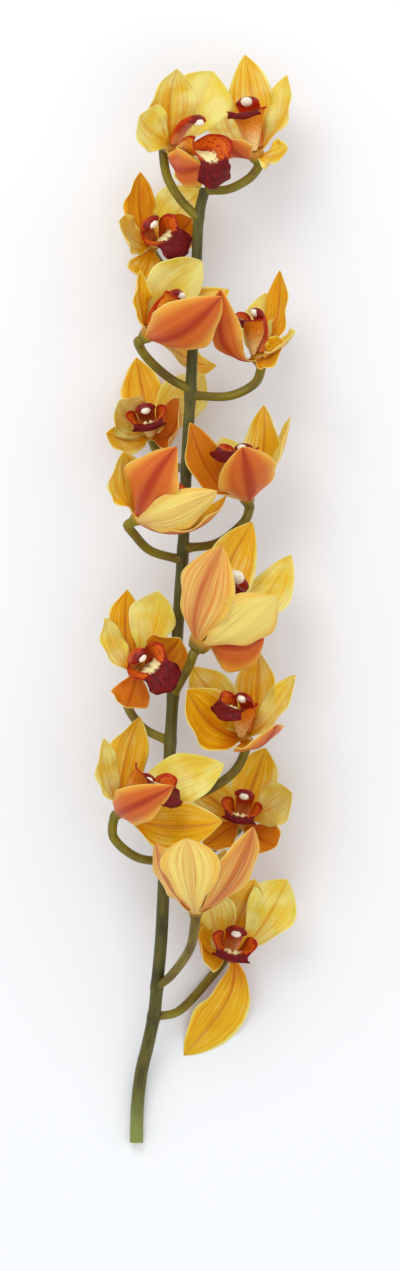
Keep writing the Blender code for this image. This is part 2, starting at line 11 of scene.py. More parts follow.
import bmesh
import bpy
import numpy as np
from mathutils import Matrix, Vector


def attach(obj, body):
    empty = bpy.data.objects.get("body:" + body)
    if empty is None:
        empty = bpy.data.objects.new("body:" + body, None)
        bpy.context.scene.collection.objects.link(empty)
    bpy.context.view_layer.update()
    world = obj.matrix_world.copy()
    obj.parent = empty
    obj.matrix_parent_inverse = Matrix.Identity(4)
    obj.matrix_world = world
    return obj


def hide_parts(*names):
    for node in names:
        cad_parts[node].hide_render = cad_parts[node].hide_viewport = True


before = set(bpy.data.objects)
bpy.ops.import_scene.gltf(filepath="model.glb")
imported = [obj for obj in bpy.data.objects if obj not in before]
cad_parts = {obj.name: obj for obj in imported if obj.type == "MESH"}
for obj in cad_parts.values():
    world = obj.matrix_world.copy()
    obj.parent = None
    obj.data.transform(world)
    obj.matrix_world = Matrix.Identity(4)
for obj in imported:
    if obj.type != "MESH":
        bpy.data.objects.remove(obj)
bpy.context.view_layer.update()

BODY = "root"

MM = 0.001

# The plan of the spray is laid out on the reference picture: one picture pixel is this long on the object.
PIXEL = 0.58 * MM
PLAN_X = 197.362
PLAN_Y = 600.06
PICTURE_WIDTH = 400
PICTURE_HEIGHT = 1271

# Stem and flower stalks.
STEM_RADIUS_FOOT = 3.9 * MM
STEM_RADIUS_TIP = 3.0 * MM
STALK_RADIUS_NODE = 2.5 * MM
STALK_RADIUS_SEAT = 2.9 * MM
STEM_SIDES = 28
STALK_SIDES = 24
STEM_RINGS = 420
STALK_RINGS = 70
STEM_RIBS = 7
STEM_RIB_DEPTH = 0.02
NODE_SWELL = 0.10
NODE_SPAN = 0.006
STALK_NECK = 3 * MM
STALK_FLARE = 0.35
STALK_FLARE_SPAN = 0.05
STALK_RIBS = 6
STALK_RIB_DEPTH = 0.055

# Scale leaves at the stalks' feet; the shape gives width, hook and cup.
BRACT_LENGTH = 8 * MM
BRACT_HALF_WIDTH = 3.6 * MM
BRACT_THICKNESS = 0.5 * MM
BRACT_DROP = 3.2 * MM
BRACT_OUT = 1.0 * MM
BRACT_UPWARD = 0.9
BRACT_LIFT = 0.3
BRACT_SHAPE = (1.0, 0.2, 0.7)
BRACT_ROWS = 16
BRACT_COLUMNS = 10

# Blades: tepals and lip.
BLADE_THICKNESS = 0.8 * MM
REST_HEIGHT = 0.5 * BLADE_THICKNESS
EDGE_WAVE = 1.2 * MM
EDGE_WAVE_TURNS = 17
BUCKLE = 1.1 * MM
BUCKLE_TURNS = 7.0
PLEAT = 0.22 * MM
PLEAT_TURNS = 9.5
EDGE_THINNING = 0.55
TIP_THINNING = 0.35
MIDRIB_GROOVE = 0.35 * MM
MIDRIB_KEEL = 0.55 * MM
SEPAL_HALF_WIDTH = 14.5 * MM
PETAL_HALF_WIDTH = 14.0 * MM
ROOT_HALF_WIDTH = 3.4 * MM
ROOT_SHARE = 0.3
TIP_HALF_WIDTH = 0.5 * MM
ROOT_REACH = 2.2 * MM
ROOT_STEP = 0.8 * MM
PETAL_LIFT = 0.5
SEPAL_LIFT = 0.12
START_LEAN = 0.45
END_REACH = 0.36
ROOT_FOLD = 0.25
SHOW_SHARE = 0.35
TURN_STEPS = 4
PETAL_ANGLE = 65
SEPAL_ANGLE = 128
RIPPLE = 0.05
RIPPLE_STEP = 1.7
RIPPLE_WAVES = 7.5
RIPPLE_SHIFT = 9.0
UPWARD = np.array([0.0, 0.0, 1.0])
TEPAL_ROWS = 44
TEPAL_COLUMNS = 24

# Seat: the short swollen end of the ovary that carries the tepals.
SEAT_RADIUS = 4.4 * MM
SEAT_BACK = 3.2 * MM
SEAT_FRONT = 3.6 * MM
FIT_GAP = 0.35 * MM
SEAT_RINGS = 14
SEAT_SHARES = (0, 0.35, 0.65, 0.9, 1.0)
SEAT_SWELL = (0.66, 0.9, 1.0, 0.8, 0.3)

# Lip: a trough round the column, then a broad lobe that turns down.
LIP_LENGTH = 44 * MM
LIP_ROWS = 60
LIP_COLUMNS = 44
LIP_SAMPLES = 200
LEAST_FOLD = 0.05
LIP_DROP = 3.4 * MM
LOBE_REACH = 4.5 * MM
LOBE_STATION = 0.42
LOBE_SPAN = 0.12
LOBE_FLARE = 4.0 * MM
FLARE_STATION = 0.50
FLARE_SPAN = 0.08
CURL_STATION = 0.6
LIP_STATIONS = (0.0, 0.16, 0.32, 0.44, 0.56, 0.66, 0.80, 0.92, 1.0)
LIP_HALF_WIDTHS = (3.0, 8.5, 15.0, 16.0, 11.0, 9.0, 12.0, 10.0, 2.5)
LIP_FOLDS = (1.1, 1.7, 2.0, 1.95, 0.9, 0.1, -0.35, -0.5, -0.5)
LIP_HEADINGS = (0.20, 0.20, 0.22, 0.30, 0.62, 1.05, 1.65, 2.10, 2.35)
LIP_WAVE = 1.0 * MM
LIP_WAVE_TURNS = 34
LIP_WAVE_START = 0.58
LIP_WAVE_EASE = 0.12
CALLUS_HEIGHT = 1.7 * MM
CALLUS_ASIDE = 0.15
CALLUS_SPAN = 0.085
CALLUS_START = 0.10
CALLUS_END = 0.66

# Column: an arched club with the anther cap on its end.
COLUMN_LENGTH = 26.5 * MM
COLUMN_RISE = 1.5 * MM
COLUMN_HALF_WIDTH_FOOT = 4.2 * MM
COLUMN_HALF_WIDTH_HEAD = 6.5 * MM
COLUMN_DEPTH = 3.4 * MM
COLUMN_TAPER = 1.2
COLUMN_ROUND = 0.90
COLUMN_ROUND_SPAN = 0.105
COLUMN_HEADING_FOOT = 0.80
COLUMN_HEADING_HEAD = -0.50
COLUMN_STEPS = 60
COLUMN_SIDES = 32
COLUMN_RINGS = 30
CAP_RADIUS = 2.6 * MM
CAP_SINK = 1.3 * MM
CAP_SIDES = 28
CAP_RINGS = 16
CAP_GROOVE = 0.12
CAP_FLATS = (1.15, 0.85, 0.8)

# Floor, lights and camera, in metres and watts.
FLOOR_HALF = 8.0
KEY_PLACE = (-0.5, 1.3, 1.9)
KEY_SIZE = 1.2
KEY_POWER = 15
KEY_COLOUR = (1.0, 0.985, 0.96)
OVERHEAD_PLACE = (0.5, -0.3, 2.2)
OVERHEAD_SIZE = 1.6
OVERHEAD_POWER = 4
OVERHEAD_COLOUR = (1.0, 1.0, 1.0)
WORLD_COLOUR = (0.92, 0.95, 1.0, 1.0)
WORLD_STRENGTH = 0.92
CAMERA_DISTANCE = 8.0
CAMERA_SENSOR = 36.0
CAMERA_FAR = 60.0
MIDDLE_HEIGHT = 55

Tepal = namedtuple("Tepal", "x y z width hook cup show spread around belly",
                   defaults=(1.0, 0.35, 0.45, 0.0, 0.34, None, 1.2))
Bloom = namedtuple("Bloom", "name x y z size face up stalk dorsal left_petal right_petal left_sepal"
                            " right_sepal column lip lip_size curl front", defaults=(0.0, 0.0, 1.0, 0.0, 1.0))

# Centre line of the stem: picture x, picture y, height in millimetres.
STEM_LINE = (
    (136, 1146, 3.9), (137, 1110, 5), (141, 1075, 9), (148, 1045, 16), (154, 1015, 25),
    (157, 985, 33), (161, 940, 42), (163, 900, 47), (165, 850, 50), (167, 800, 51),
    (170, 745, 51), (173, 695, 51), (177, 640, 51), (180, 590, 51), (183, 548, 51),
    (185, 500, 51), (187, 450, 51), (190, 400, 51), (193, 340, 51), (196, 290, 51),
    (197, 250, 51), (199, 215, 51), (205, 188, 51),
)

# Each bloom: its seat (picture x, picture y, height in mm) and size, its facing and up directions, the way of
# its stalk, its five tepals, then how far its column tilts up and its lip tilts down in radians, the size
# of its lip, the extra curl of its front lobe and how long that lobe is.
# Each tepal: its tip in the same kind of coordinates, then its width, the hook of its end, how much it is
# cupped, how much it turns its inner (plus) or outer (minus) face upward, how far it spreads before it bends
# over, the angle of its root round the bloom's facing direction and how far out it is widest.
BLOOMS = (
    Bloom("bloom_01", 171, 148, 60, 1.05, (0.66, 0.1, 0.75), (-0.1, 0.95, 0.0),
          ((198, 217, 51), (181, 200, 52), (167, 176, 54)),
          Tepal(177, 71, 84, 1.05, show=0.4, belly=1.0), Tepal(140, 118, 98, show=0.3, belly=1.4),
          Tepal(213, 71, 50, 1.3, show=0.3, belly=1.8),
          Tepal(202, 168, 90, 0.95, 0.5, 0.4, -0.5, 0.5, 150), Tepal(199, 190, 66, 0.7),
          0.25, 0.0, 1.1, 0.0, 0.85),
    Bloom("bloom_02", 256, 155, 50, 1.15, (-0.23, 0.86, 0.45), (0.15, 0.5, -0.85),
          ((205, 190, 51), (228, 189, 50), (249, 178, 47)),
          Tepal(245, 54, 40, 0.85), Tepal(222, 92, 0, 0.9), Tepal(287, 75, 50, 0.85, belly=1.6),
          Tepal(224, 138, 70, 0.7, 0.4, show=-0.4), Tepal(288, 149, 68, 0.65, show=0.4), 0.15, -0.4,
          0.78, 1.5, 0.4),
    Bloom("bloom_03", 152, 243, 20, 1.0, (0.16, 0.28, 0.95), (-0.7, 0.7, -0.1),
          ((196, 290, 50), (182, 286, 36), (160, 262, 14)),
          Tepal(140, 171, 34, 0.72, belly=1.0), Tepal(119, 221, 50, 0.9), Tepal(202, 188, 12, 1.15),
          Tepal(142, 277, 58, 0.85, 0.6), Tepal(192, 218, 42, 0.9, show=0.5), 0.0, -0.15, 0.92),
    Bloom("bloom_04", 147, 336, 78, 1.1, (0.72, 0.68, 0.22), (-0.6, 0.6, -0.4),
          ((191, 390, 51), (168, 377, 56), (147, 358, 66)),
          Tepal(202, 262, 68, 1.1, show=0.4, belly=1.7), Tepal(141, 272, 88, 0.7, show=0.4),
          Tepal(229, 290, 57, 0.8), Tepal(221, 299, 108, 1.25, 0.5, 0.45, -0.2, 0.45, 150, 0.95),
          Tepal(216, 364, 12, 0.7, 0.35, 0.45, 0.3, 0.5, -95), -0.1, -0.3, 0.85),
    Bloom("bloom_05", 258, 358, 52, 1.0, (-0.3, 0.85, 0.45), (0.75, 0.3, -0.5),
          ((190, 395, 51), (228, 396, 50), (254, 384, 49)),
          Tepal(280, 270, 44, 0.7), Tepal(266, 292, 34, 0.75), Tepal(290, 338, 86, 0.85, belly=1.5),
          Tepal(221, 291, 84, 0.9, 0.6, 0.45, -0.3, 0.5, 175),
          Tepal(283, 341, 80, 0.75, show=0.5, around=-112), 0.1, -0.35, 0.85, 0.6),
    Bloom("bloom_06", 150, 432, 13, 1.0, (-0.05, 0.25, 0.96), (-0.2, 0.95, -0.3),
          ((187, 468, 50), (175, 466, 34), (158, 452, 9)),
          Tepal(136, 356, 0, 0.9, belly=1.0), Tepal(119, 400, 40, show=0.4), Tepal(204, 373, 14, 1.1),
          Tepal(106, 433, 36, 0.7, show=0.5), Tepal(179, 398, 38, 1.0, 0.5, 0.7, 0.2, 0.5, -150), 0.05,
          -0.35, 0.9, 2.0, 0.45),
    Bloom("bloom_07", 137, 519, 75, 1.0, (0.78, 0.58, 0.2), (-0.5, 0.7, -0.3),
          ((183, 560, 51), (151, 551, 56), (133, 533, 68)),
          Tepal(124, 452, 92, show=0.5), Tepal(177, 448, 104, 1.3, 0.35, 0.45, -0.8, 0.6, 92, 0.7),
          Tepal(168, 462, 60, 0.8), Tepal(217, 492, 100, 0.85, 0.35, 0.45, -0.4, 0.45),
          Tepal(226, 496, 66, 1.2, 0.8, 0.45, 0.0, 0.55, 175), 0.0, -0.25),
    Bloom("bloom_08", 247, 498, 52, 1.08, (-0.2, 0.88, 0.38), (0.5, 0.5, -0.6),
          ((185, 548, 51), (217, 543, 50), (243, 523, 49)),
          Tepal(264, 405, 46, 0.9, belly=1.0), Tepal(222, 437, 40), Tepal(290, 417, 62),
          Tepal(190, 423, 62, 0.85, show=0.5), Tepal(242, 448, 100, 1.15), 0.0, -0.25, 0.95, 0.9, 0.65),
    Bloom("bloom_09", 200, 643, 84, 1.58, (0.5, 0.85, 0.05), (-0.1, 0.1, -0.95),
          ((174, 694, 51), (181, 681, 60), (190, 664, 76)),
          Tepal(252, 522, 60, 0.8, around=10), Tepal(264, 637, 66, 0.85, show=-0.8, around=-95),
          Tepal(291, 555, 40, 0.8, 0.35, 0.15, around=-65),
          Tepal(222, 547, 110, 0.9, 0.35, 0.45, -0.1, 0.4, 140),
          Tepal(276, 597, 104, 0.87, 0.35, 0.4, -0.2, 0.4, -160, 1.5), 0.0, -0.38, 0.66),
    Bloom("bloom_10", 138, 668, 46, 1.0, (0.1, 0.2, 0.97), (-0.7, 0.7, -0.1),
          ((171, 742, 50), (142, 727, 44), (126, 700, 34)),
          Tepal(127, 590, 54, 0.8, show=0.3, belly=1.0), Tepal(105, 618, 60, 0.65),
          Tepal(158, 591, 64, 1.0, show=0.3, belly=1.5), Tepal(126, 707, 70, 0.8, 0.8),
          Tepal(180, 638, 72, 1.05, show=1.0), -0.2, -0.05),
    Bloom("bloom_11", 245, 737, 52, 1.0, (-0.25, 0.6, 0.75), (0.5, 0.75, -0.3),
          ((167, 798, 51), (200, 794, 47), (234, 772, 40)),
          Tepal(258, 651, 56), Tepal(192, 667, 56, show=0.3), Tepal(295, 675, 74),
          Tepal(187, 690, 76, 1.35, show=0.4, belly=1.0), Tepal(276, 724, 98, 1.1, 0.6, around=-150), 0.15,
          -0.4, 0.95, 0.5, 0.75),
    Bloom("bloom_12", 121, 811, 62, 1.0, (0.6, 0.58, 0.55), (-0.1, 0.8, -0.5),
          ((164, 862, 50), (136, 857, 52), (114, 838, 55)),
          Tepal(140, 717, 54), Tepal(104, 738, 88, 0.8, show=0.3),
          Tepal(224, 764, 64, 1.1, 0.2, 0.3, 0.2, 0.4, -45, 1.3),
          Tepal(173, 785, 110, 0.85, 0.35, 0.45, -0.3, 0.42, belly=0.9), Tepal(222, 821, 76, 1.1, show=0.6),
          -0.1, -0.2, 1.15),
    Bloom("bloom_13", 242, 823, 14, 1.0, (0.0, 0.35, 0.93), (0.2, 0.9, -0.3),
          ((164, 868, 49), (188, 862, 30), (222, 844, 10)),
          Tepal(266, 749, 0), Tepal(190, 782, 36, show=0.3), Tepal(292, 793, 46, show=0.3, belly=1.5),
          Tepal(204, 846, 38, 0.8), Tepal(277, 846, 48, 0.9, show=0.3), 0.05, -0.15, 0.9, 1.8, 0.45),
    Bloom("bloom_14", 196, 912, 80, 1.0, (0.1, 0.97, 0.1), (-0.1, -0.1, 1),
          ((156, 988, 32), (172, 975, 44), (190, 948, 66)),
          Tepal(187, 837, 106, 1.3, belly=1.9), Tepal(253, 826, 92, 1.0, 0.35, 0.15, -0.4),
          Tepal(156, 842, 84, show=-0.4), Tepal(225, 850, 50), Tepal(178, 848, 50), -0.4, 0.1),
    Bloom("bloom_15", 229, 955, 13, 1.05, (0.1, 0.2, 0.97), (0.2, 0.9, -0.2),
          ((154, 1018, 24), (180, 1012, 14), (212, 978, 3.5)),
          Tepal(255, 880, 30), Tepal(210, 888, 36, show=0.3), Tepal(287, 880, 36, 1.1, show=0.3, belly=1.7),
          Tepal(198, 936, 44), Tepal(184, 1058, -3), 0.05, -0.2, 0.95, 1.8, 0.45),
)

# How golden the inner face and how orange the outer face of each tepal is, in the order dorsal sepal,
# left petal, right petal, left sepal, right sepal.
GOLD = {
    "bloom_01": (0.30, 0.10, 0.00, 0.80, 0.30),
    "bloom_02": (0.40, 0.25, 0.12, 0.85, 0.30),
    "bloom_03": (0.95, 0.25, 0.12, 0.55, 1.20),
    "bloom_04": (0.05, 0.60, 0.55, 0.85, 0.65),
    "bloom_05": (0.85, 0.05, 0.05, 0.90, 0.80),
    "bloom_06": (0.70, 0.12, 0.10, 0.35, 1.30),
    "bloom_07": (0.40, 0.55, 0.30, 0.55, 0.80),
    "bloom_08": (0.60, 0.10, 0.15, 1.15, 1.00),
    "bloom_09": (0.60, 0.85, 0.15, 0.70, 0.10),
    "bloom_10": (0.75, 0.15, 0.08, 0.90, 1.10),
    "bloom_11": (0.50, 0.35, 0.15, 0.80, 0.75),
    "bloom_12": (0.55, 0.12, 0.10, 0.80, 0.65),
    "bloom_13": (0.65, 0.40, 0.12, 0.95, 0.90),
    "bloom_14": (0.40, 0.70, 0.55, 0.60, 0.60),
    "bloom_15": (0.55, 0.20, 0.12, 0.75, 0.65),
}
BLUSH = {
    "bloom_03": (0.45, 0.20, 0.20, 1.00, 1.50),
    "bloom_06": (0.45, 0.20, 0.20, 1.00, 1.70),
    "bloom_08": (0.45, 0.20, 0.20, 1.50, 1.00),
    "bloom_07": (0.40, 1.00, 0.20, 0.05, 1.00),
    "bloom_09": (0.40, 1.00, 0.30, 0.45, -0.30),
    "bloom_10": (0.45, 0.20, 0.20, 1.70, 1.30),
    "bloom_13": (0.45, 0.20, 0.20, 1.40, 1.60),
    "bloom_14": (0.05, 0.50, 0.45, 0.60, 0.60),
}
USUAL_BLUSH = (0.45, 0.2, 0.2, 1.0, 1.0)

# Display colours of the flesh and skins.
PALE_YELLOW = (242, 232, 140)
WARM_YELLOW = (236, 216, 84)
AMBER = (236, 182, 14)
DEEP_GOLD = (212, 124, 2)
VEIN_GOLD = (198, 104, 2)
MIDRIB_INNER = (190, 84, 4)
OUTER_YELLOW = (238, 214, 116)
OUTER_ORANGE = (208, 104, 34)
OUTER_PINK = (206, 104, 58)
OUTER_RED = (176, 52, 16)
RIM_CREAM = (246, 222, 140)
OUTER_EDGE = (236, 180, 66)
CALLUS_CREAM = (244, 232, 170)
LOBE_ORANGE = (226, 132, 24)
LOBE_RED = (172, 30, 12)
LOBE_GLOW = (214, 96, 16)
THROAT_RED = (156, 30, 16)
LIP_PEACH = (240, 206, 136)
SPECK_RED = (140, 14, 8)
LIP_MAROON = (128, 16, 14)
LIP_DARK = (86, 8, 10)
# Dark red of the column's tip, deepened as painted shade under the anther cap.
LIP_OUTER = (140, 36, 30)
COLUMN_ORANGE = (218, 104, 16)
COLUMN_RED = (196, 52, 12)
COLUMN_TIP_RED_AND_CAP_SHADE = (124, 16, 12)
COLUMN_UNDER = (234, 160, 96)
CAP_CREAM = (250, 246, 232)
CAP_SHADE = (236, 220, 190)
STEM_GREEN = (98, 92, 26)
STEM_DARK = (60, 56, 16)
STEM_PALE = (150, 160, 80)
CUT_CREAM = (206, 206, 150)
STALK_OLIVE = (134, 122, 14)
STALK_BROWN = (92, 68, 18)
SEAT_YELLOW = (206, 140, 30)
BRACT_TAN = (140, 120, 70)
BRACT_BROWN = (92, 72, 40)
FLOOR_PALE = (244, 244, 243)
FLOOR_SHADE = (239, 239, 238)


# Small helpers.


def spot(x, y, height):
    """World position of a point given by its place in the picture and its height in millimetres."""
    return np.array([(x - PLAN_X) * PIXEL, (PLAN_Y - y) * PIXEL, height * MM])


def unit(vector):
    vector = np.asarray(vector, dtype=float)
    return vector / np.linalg.norm(vector)


def smooth_line(points, samples):
    """Points spread evenly by parameter along a Catmull-Rom curve through the given points."""
    points = np.asarray(points, dtype=float)
    padded = np.vstack([2 * points[0] - points[1], points, 2 * points[-1] - points[-2]])
    last = len(points) - 1
    line = []
    for step in np.linspace(0, last, samples):
        index = min(int(step), last - 1)
        part = step - index
        before, start, end, after = padded[index:index + 4]
        line.append(0.5 * (2 * start + (end - before) * part
                           + (2 * before - 5 * start + 4 * end - after) * part ** 2
                           + (3 * start - before - 3 * end + after) * part ** 3))
    return np.array(line)


def tangents(line):
    steps = np.gradient(line, axis=0)
    return steps / np.linalg.norm(steps, axis=1)[:, None]


def softened(stations, values, share, span=0.04):
    """Values at the shares along a table, with its corners rounded off."""
    fine = np.linspace(-0.2, 1.2, 700)
    table = np.interp(fine, stations, values)
    width = np.arange(-60, 61) * (fine[1] - fine[0])
    weight = np.exp(-(width / span) ** 2)
    table = np.convolve(np.pad(table, 60, mode="edge"), weight / weight.sum(), mode="valid")
    return np.interp(share, fine, table)


def bump_shape(value, middle, span):
    return np.exp(-((value - middle) / span) ** 2)


def bloom_axes(bloom):
    """Facing, up and right directions of a bloom, right as seen by somebody looking into it."""
    face = unit(bloom.face)
    up = np.asarray(bloom.up, dtype=float)
    up = unit(up - np.dot(up, face) * face)
    return face, up, np.cross(up, face)


def sheet_normals(grid):
    along = np.gradient(grid, axis=0)
    across = np.gradient(grid, axis=1)
    normals = np.cross(along, across)
    length = np.linalg.norm(normals, axis=2)[:, :, None]
    return normals / np.maximum(length, 1e-12)


# Middle sheets of the blades, on the same curves as the solids.


def tepal_width(share, belly):
    """Half width of a tepal as a share of its greatest half width; a greater belly moves it outward."""
    return np.sin(np.pi * share ** belly) ** 0.8


def tepal_grid(root, outward, face, lift, tip, half_width, tepal, rows, columns, ripple=0.0):
    """Middle sheet of a tepal, from the seat outward and over to its tip."""
    chord = tip - root
    length = np.linalg.norm(chord)
    along = chord / length
    inward = face - outward
    inward = unit(inward - np.dot(inward, along) * along)
    start = unit(outward + lift * face + START_LEAN * along)
    end = along * math.cos(tepal.hook) + inward * math.sin(tepal.hook)
    first = root + start * length * tepal.spread
    second = tip - end * length * END_REACH
    share = np.linspace(0, 1, rows + 1)
    across = np.linspace(-1, 1, columns + 1)
    grid = np.zeros((rows + 1, columns + 1, 3))
    inner = face
    done = 0.0
    for row, t in enumerate(share):
        for step in np.linspace(done, t, TURN_STEPS):
            heading = (3 * (1 - step) ** 2 * (first - root) + 6 * step * (1 - step) * (second - first)
                       + 3 * step ** 2 * (tip - second))
            heading = unit(heading)
            inner = unit(inner - np.dot(inner, heading) * heading)
        done = t
        middle = ((1 - t) ** 3 * root + 3 * t * (1 - t) ** 2 * first
                  + 3 * t ** 2 * (1 - t) * second + t ** 3 * tip)
        viewed = UPWARD - np.dot(UPWARD, heading) * heading
        turned = min(t / SHOW_SHARE, 1.0) * tepal.show
        facing = unit(inner * (1 - abs(turned)) + unit(viewed) * turned)
        side = np.cross(heading, facing)
        width = max(half_width * tepal_width(t, tepal.belly), TIP_HALF_WIDTH,
                    ROOT_HALF_WIDTH * (1 - t / ROOT_SHARE))
        fold = tepal.cup + ROOT_FOLD * (1 - t) ** 3
        arc = fold * across
        sideways = width * np.sin(arc) / fold
        forward = width * (1 - np.cos(arc)) / fold
        turn = math.sin(RIPPLE_WAVES * t + RIPPLE_SHIFT * ripple)
        forward = forward + ripple * width * np.abs(across) ** 3 * turn
        grid[row] = middle + sideways[:, None] * side + forward[:, None] * facing
    return grid


def tepal_sheets(bloom, rows, columns):
    """Middle sheets of the five tepals in the order dorsal sepal, petals, lower sepals."""
    face, up, right = bloom_axes(bloom)
    seat = spot(bloom.x, bloom.y, bloom.z)
    plan = (
        (bloom.dorsal, 0, False),
        (bloom.left_petal, PETAL_ANGLE, True), (bloom.right_petal, -PETAL_ANGLE, True),
        (bloom.left_sepal, SEPAL_ANGLE, False), (bloom.right_sepal, -SEPAL_ANGLE, False),
    )
    sheets = []
    for number, (tepal, angle, petal) in enumerate(plan):
        turn = math.radians(angle if tepal.around is None else tepal.around)
        outward = up * math.cos(turn) - right * math.sin(turn)
        step = ROOT_STEP if petal else -ROOT_STEP
        root = seat + outward * ROOT_REACH + face * step
        tip = spot(tepal.x, tepal.y, tepal.z)
        half_width = (PETAL_HALF_WIDTH if petal else SEPAL_HALF_WIDTH) * tepal.width * bloom.size
        ripple = RIPPLE * math.sin(RIPPLE_STEP * number + bloom.x)
        lift = PETAL_LIFT if petal else SEPAL_LIFT
        sheets.append(tepal_grid(root, outward, face, lift, tip, half_width, tepal, rows, columns, ripple))
    return sheets


def lip_grid(bloom, rows, columns):
    """Middle sheet of the lip, with its side lobes and waved edge; the front is the upper, inner face."""
    face, up, right = bloom_axes(bloom)
    seat = spot(bloom.x, bloom.y, bloom.z)
    size = bloom.size
    lip_size = size * bloom.lip_size
    fine = np.linspace(0, 1, LIP_SAMPLES)
    heading = softened(LIP_STATIONS, LIP_HEADINGS, fine) + bloom.lip
    heading = heading + bloom.curl * np.maximum(fine - CURL_STATION, 0.0) / (1 - CURL_STATION)
    stretch = np.where(fine[:-1] > CURL_STATION, bloom.front, 1.0)
    step = LIP_LENGTH * lip_size / (LIP_SAMPLES - 1) * stretch
    forward = np.concatenate([[0], np.cumsum(np.cos(heading[:-1]) * step)])
    rise = np.concatenate([[0], np.cumsum(-np.sin(heading[:-1]) * step)])
    share = np.linspace(0, 1, rows + 1)
    across = np.linspace(-1, 1, columns + 1)
    widths = softened(LIP_STATIONS, LIP_HALF_WIDTHS, share, 0.03) * MM * lip_size
    folds = softened(LIP_STATIONS, LIP_FOLDS, share)
    grid = np.zeros((rows + 1, columns + 1, 3))
    for row, t in enumerate(share):
        width = widths[row]
        fold = folds[row]
        if abs(fold) < LEAST_FOLD:
            fold = LEAST_FOLD
        angle = np.interp(t, fine, heading)
        along = face * math.cos(angle) - up * math.sin(angle)
        above = up * math.cos(angle) + face * math.sin(angle)
        middle = (seat + face * (SEAT_FRONT * size + FIT_GAP + 0.5 * BLADE_THICKNESS
                                 + np.interp(t, fine, forward))
                  + up * (np.interp(t, fine, rise) - LIP_DROP * size))
        arc = fold * across
        sideways = width * np.sin(arc) / fold
        lift = width * (1 - np.cos(arc)) / fold
        lobe = across ** 4 * bump_shape(t, LOBE_STATION, LOBE_SPAN) * lip_size
        flare = LOBE_FLARE * lip_size * across ** 3 * bump_shape(t, FLARE_STATION, FLARE_SPAN)
        turn = np.sin(LIP_WAVE_TURNS * t + 2.0 * np.sign(across) + bloom.x)
        wave = LIP_WAVE * lip_size * np.abs(across) ** 3 * turn
        wave = wave * min(max((t - LIP_WAVE_START) / LIP_WAVE_EASE, 0.0), 1.0)
        grid[row] = (middle + (sideways + flare)[:, None] * right + (lift + wave)[:, None] * above
                     + (LOBE_REACH * lobe)[:, None] * along)
    return grid


# Meshes: points, faces and the values that the materials read.


def blade_mesh(grid, normals, inner_height, outer_height):
    """Closed blade on a sheet: its points, its quads and a value for each quad.

    The value is 1 on the inner face, 0 on the outer face and 0.5 on the rim.
    """
    rows, columns = grid.shape[:2]
    count = rows * columns
    inner = grid + normals * inner_height[:, :, None]
    outer = grid - normals * outer_height[:, :, None]
    points = np.vstack([inner.reshape(-1, 3), outer.reshape(-1, 3)])
    index = np.arange(count).reshape(rows, columns)
    a = index[:-1, :-1].ravel()
    b = index[:-1, 1:].ravel()
    c = index[1:, 1:].ravel()
    d = index[1:, :-1].ravel()
    border = np.concatenate([index[0, :-1], index[:-1, -1], index[-1, :0:-1], index[:0:-1, 0]])
    following = np.roll(border, -1)
    front = np.stack([a, b, c, d], axis=1)
    back = np.stack([d, c, b, a], axis=1) + count
    rim = np.stack([border, following, following + count, border + count], axis=1)
    faces = np.vstack([front, back, rim])
    side = np.concatenate([np.ones(len(front)), np.zeros(len(back)), np.full(len(rim), 0.5)])
    return points, faces, side


def blade_places(rows, columns):
    """Along and across values of a blade's points, for its two faces."""
    along = np.repeat(np.linspace(0, 1, rows), columns)
    across = np.tile(np.linspace(-1, 1, columns), rows)
    return np.tile(along, 2), np.tile(across, 2)


def tube_mesh(line, radii, sides, flats=None, up=(0, 0, 1), first_heading=None, last_heading=None):
    """Closed tube along a line; radii may be one per ring or a ring-by-side table."""
    line = np.asarray(line, dtype=float)
    headings = tangents(line)
    if first_heading is not None:
        headings[0] = first_heading
    if last_heading is not None:
        headings[-1] = last_heading
    radii = np.asarray(radii, dtype=float)
    if radii.ndim == 1:
        radii = np.repeat(radii[:, None], sides, axis=1)
    reference = np.asarray(up, dtype=float)
    angle = 2 * math.pi * np.arange(sides) / sides
    points = []
    for index, centre in enumerate(line):
        heading = headings[index]
        upward = unit(reference - np.dot(reference, heading) * heading)
        reference = upward
        sideways = np.cross(heading, upward)
        width = np.sin(angle)
        height = np.cos(angle)
        if flats is not None:
            wide, above, below = flats[index]
            width = width * wide
            height = np.where(height > 0, height * above, height * below)
        ring = radii[index][:, None] * (width[:, None] * sideways + height[:, None] * upward)
        points.append(centre + ring)
    rings = len(line)
    points = np.vstack(points + [line[:1], line[-1:]])
    index = np.arange(rings * sides).reshape(rings, sides)
    a = index[:-1].ravel()
    b = np.roll(index, -1, axis=1)[:-1].ravel()
    c = np.roll(index, -1, axis=1)[1:].ravel()
    d = index[1:].ravel()
    walls = np.stack([a, b, c, d], axis=1).tolist()
    foot = rings * sides
    ends = [[foot, (side + 1) % sides, side] for side in range(sides)]
    last = (rings - 1) * sides
    ends += [[foot + 1, last + side, last + (side + 1) % sides] for side in range(sides)]
    along = np.concatenate([np.repeat(np.linspace(0, 1, rings), sides), [0.0, 1.0]])
    around = np.concatenate([np.tile(np.cos(angle), rings), [0.0, 0.0]])
    return points, walls + ends, along, around


